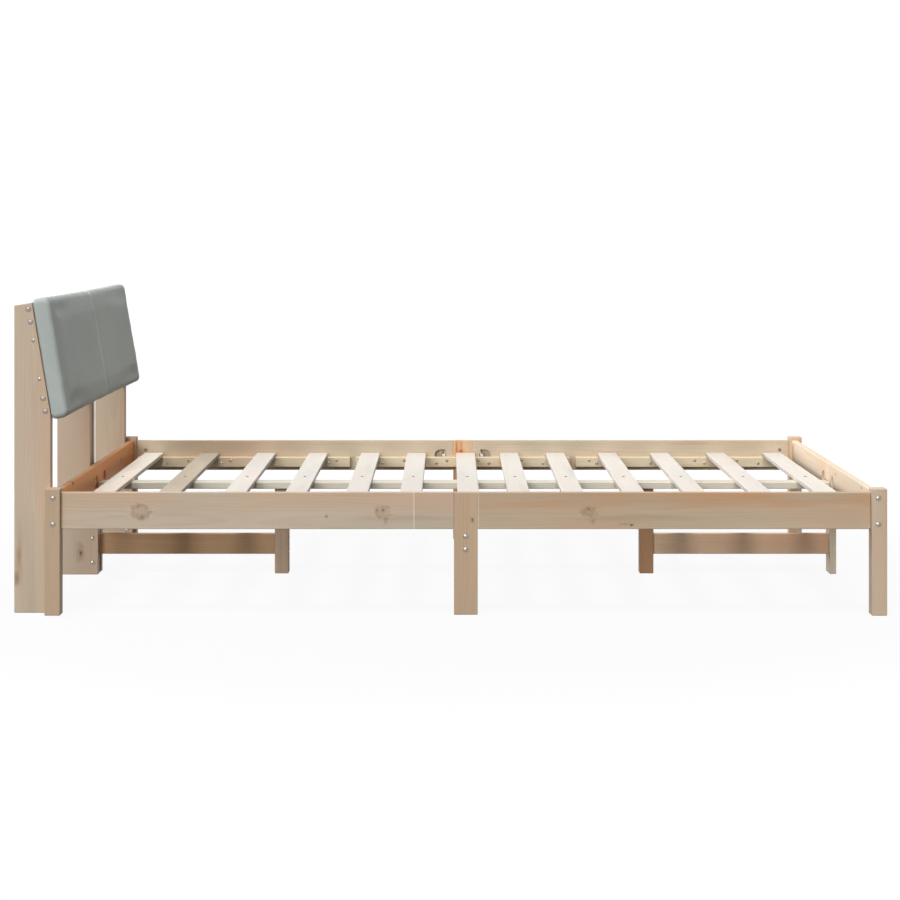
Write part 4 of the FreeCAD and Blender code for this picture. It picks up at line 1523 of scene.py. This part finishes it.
@dataclass
class Studio:
    """Floor, light and camera."""

    camera_place: Triple = (MIDDLE_X - 0.0387, -5.6575, 0.955)
    sensor: float = 36.0
    lens: float = 82.3
    shift: float = -0.25
    horizon: Colour = (0.190, 0.195, 0.200)
    zenith: Colour = (0.475, 0.485, 0.500)
    foot_dimming: float = 0.75
    floor_size: float = 60.0
    floor_gap: float = 0.0005
    floor_paint: Colour = (0.36, 0.36, 0.36)
    floor_bounce: Colour = (0.08, 0.08, 0.08)
    floor_glow: float = 1.05
    shadow_share: float = 0.12
    shadow_reach: tuple[float, float] = (1.2, 2.4)
    lamps: tuple[Lamp, ...] = (
        Lamp("key_light", (0.0, -0.36, 0.93), 2.05, 20.0),
        Lamp("front_light", (-0.35, -0.87, 0.33), 1.47, 25.0),
        Lamp("side_light", (-0.88, 0.40, 0.24), 1.96, 25.0),
    )

    def build(self) -> None:
        """Set the whole stage."""
        bpy.context.scene.view_settings.view_transform = "Standard"
        self._world()
        self._floor()
        for lamp in self.lamps:
            lamp.hang()
        self._camera()

    @staticmethod
    def _seen(graph: Graph) -> Value:
        """One for what the camera, gloss or glass sees, else zero.

        Args:
            graph: nodes of the world or the floor.

        Returns:
            That value.
        """
        rays = graph.node("ShaderNodeLightPath", {}, {}).socket.node.outputs
        names = ("Is Camera Ray", "Is Glossy Ray", "Is Transmission Ray")
        camera, gloss, glass = (Value(graph, rays[name]) for name in names)
        return camera.or_larger(gloss).or_larger(glass)

    def _world(self) -> None:
        """A white surround; as a light it is strongest overhead and weakest beyond the foot."""
        world = bpy.data.worlds.new("white_surround")
        bpy.context.scene.world = world
        graph = Graph(world)
        along, _, up = graph.place("Generated")
        sky = graph.mix(up, self.horizon, self.zenith)
        dim = graph.node("ShaderNodeMapRange", {}, {"Value": along, "To Max": self.foot_dimming})
        room = graph.mix(dim, sky, BLACK)
        glow = graph.node("ShaderNodeBackground", {}, {"Color": room, "Strength": 1.0})
        white = graph.node("ShaderNodeBackground", {}, {"Color": OPAQUE_WHITE, "Strength": 1.0})
        blend = graph.node("ShaderNodeMixShader", {}, {0: self._seen(graph), 1: glow, 2: white})
        graph.shown(blend, "ShaderNodeOutputWorld")

    def _floor(self) -> None:
        """A pale floor that keeps a faint shadow and throws little light back."""
        Modeller.clear()
        bpy.ops.mesh.primitive_plane_add(size=self.floor_size, location=(0, 0, -self.floor_gap))
        floor = bpy.context.object
        floor.name = "studio_floor"
        graph = Graph(bpy.data.materials.new("pale_floor"))
        bounced = graph.node("ShaderNodeLightPath", {}, {}, "Is Diffuse Ray")
        paint = graph.mix(bounced, self.floor_paint, self.floor_bounce)
        matt = graph.node("ShaderNodeBsdfDiffuse", {}, {"Color": paint})
        white = graph.node(
            "ShaderNodeEmission", {}, {"Color": OPAQUE_WHITE, "Strength": self.floor_glow}
        )
        x, y, _ = graph.place()
        far = (x * x + y * y).root().rise(*self.shadow_reach)
        share = self._seen(graph) * (1.0 - self.shadow_share + self.shadow_share * far)
        blend = graph.node("ShaderNodeMixShader", {}, {0: share, 1: matt, 2: white})
        Modeller.dress(floor, graph.shown(blend))

    def _camera(self) -> None:
        """A level camera that looks across the bed, with the photograph's vertical shift."""
        data = bpy.data.cameras.new("camera")
        data.sensor_width = self.sensor
        data.lens = self.lens
        data.shift_y = self.shift
        camera = bpy.data.objects.new("camera", data)
        bpy.context.scene.collection.objects.link(camera)
        camera.location = self.camera_place
        camera.rotation_euler = (math.pi / 2, 0.0, 0.0)
        bpy.context.scene.camera = camera


def main() -> None:
    """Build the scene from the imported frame."""
    logging.basicConfig(level=logging.INFO, format="%(message)s")
    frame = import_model()
    finishes = Finishes()
    Woodwork(frame["nodes"]).dress()
    Fasteners(frame["nodes"], finishes).dress()
    Screws(finishes).build()
    Cushion().build()
    Studio().build()


if __name__ == "__main__":
    main()
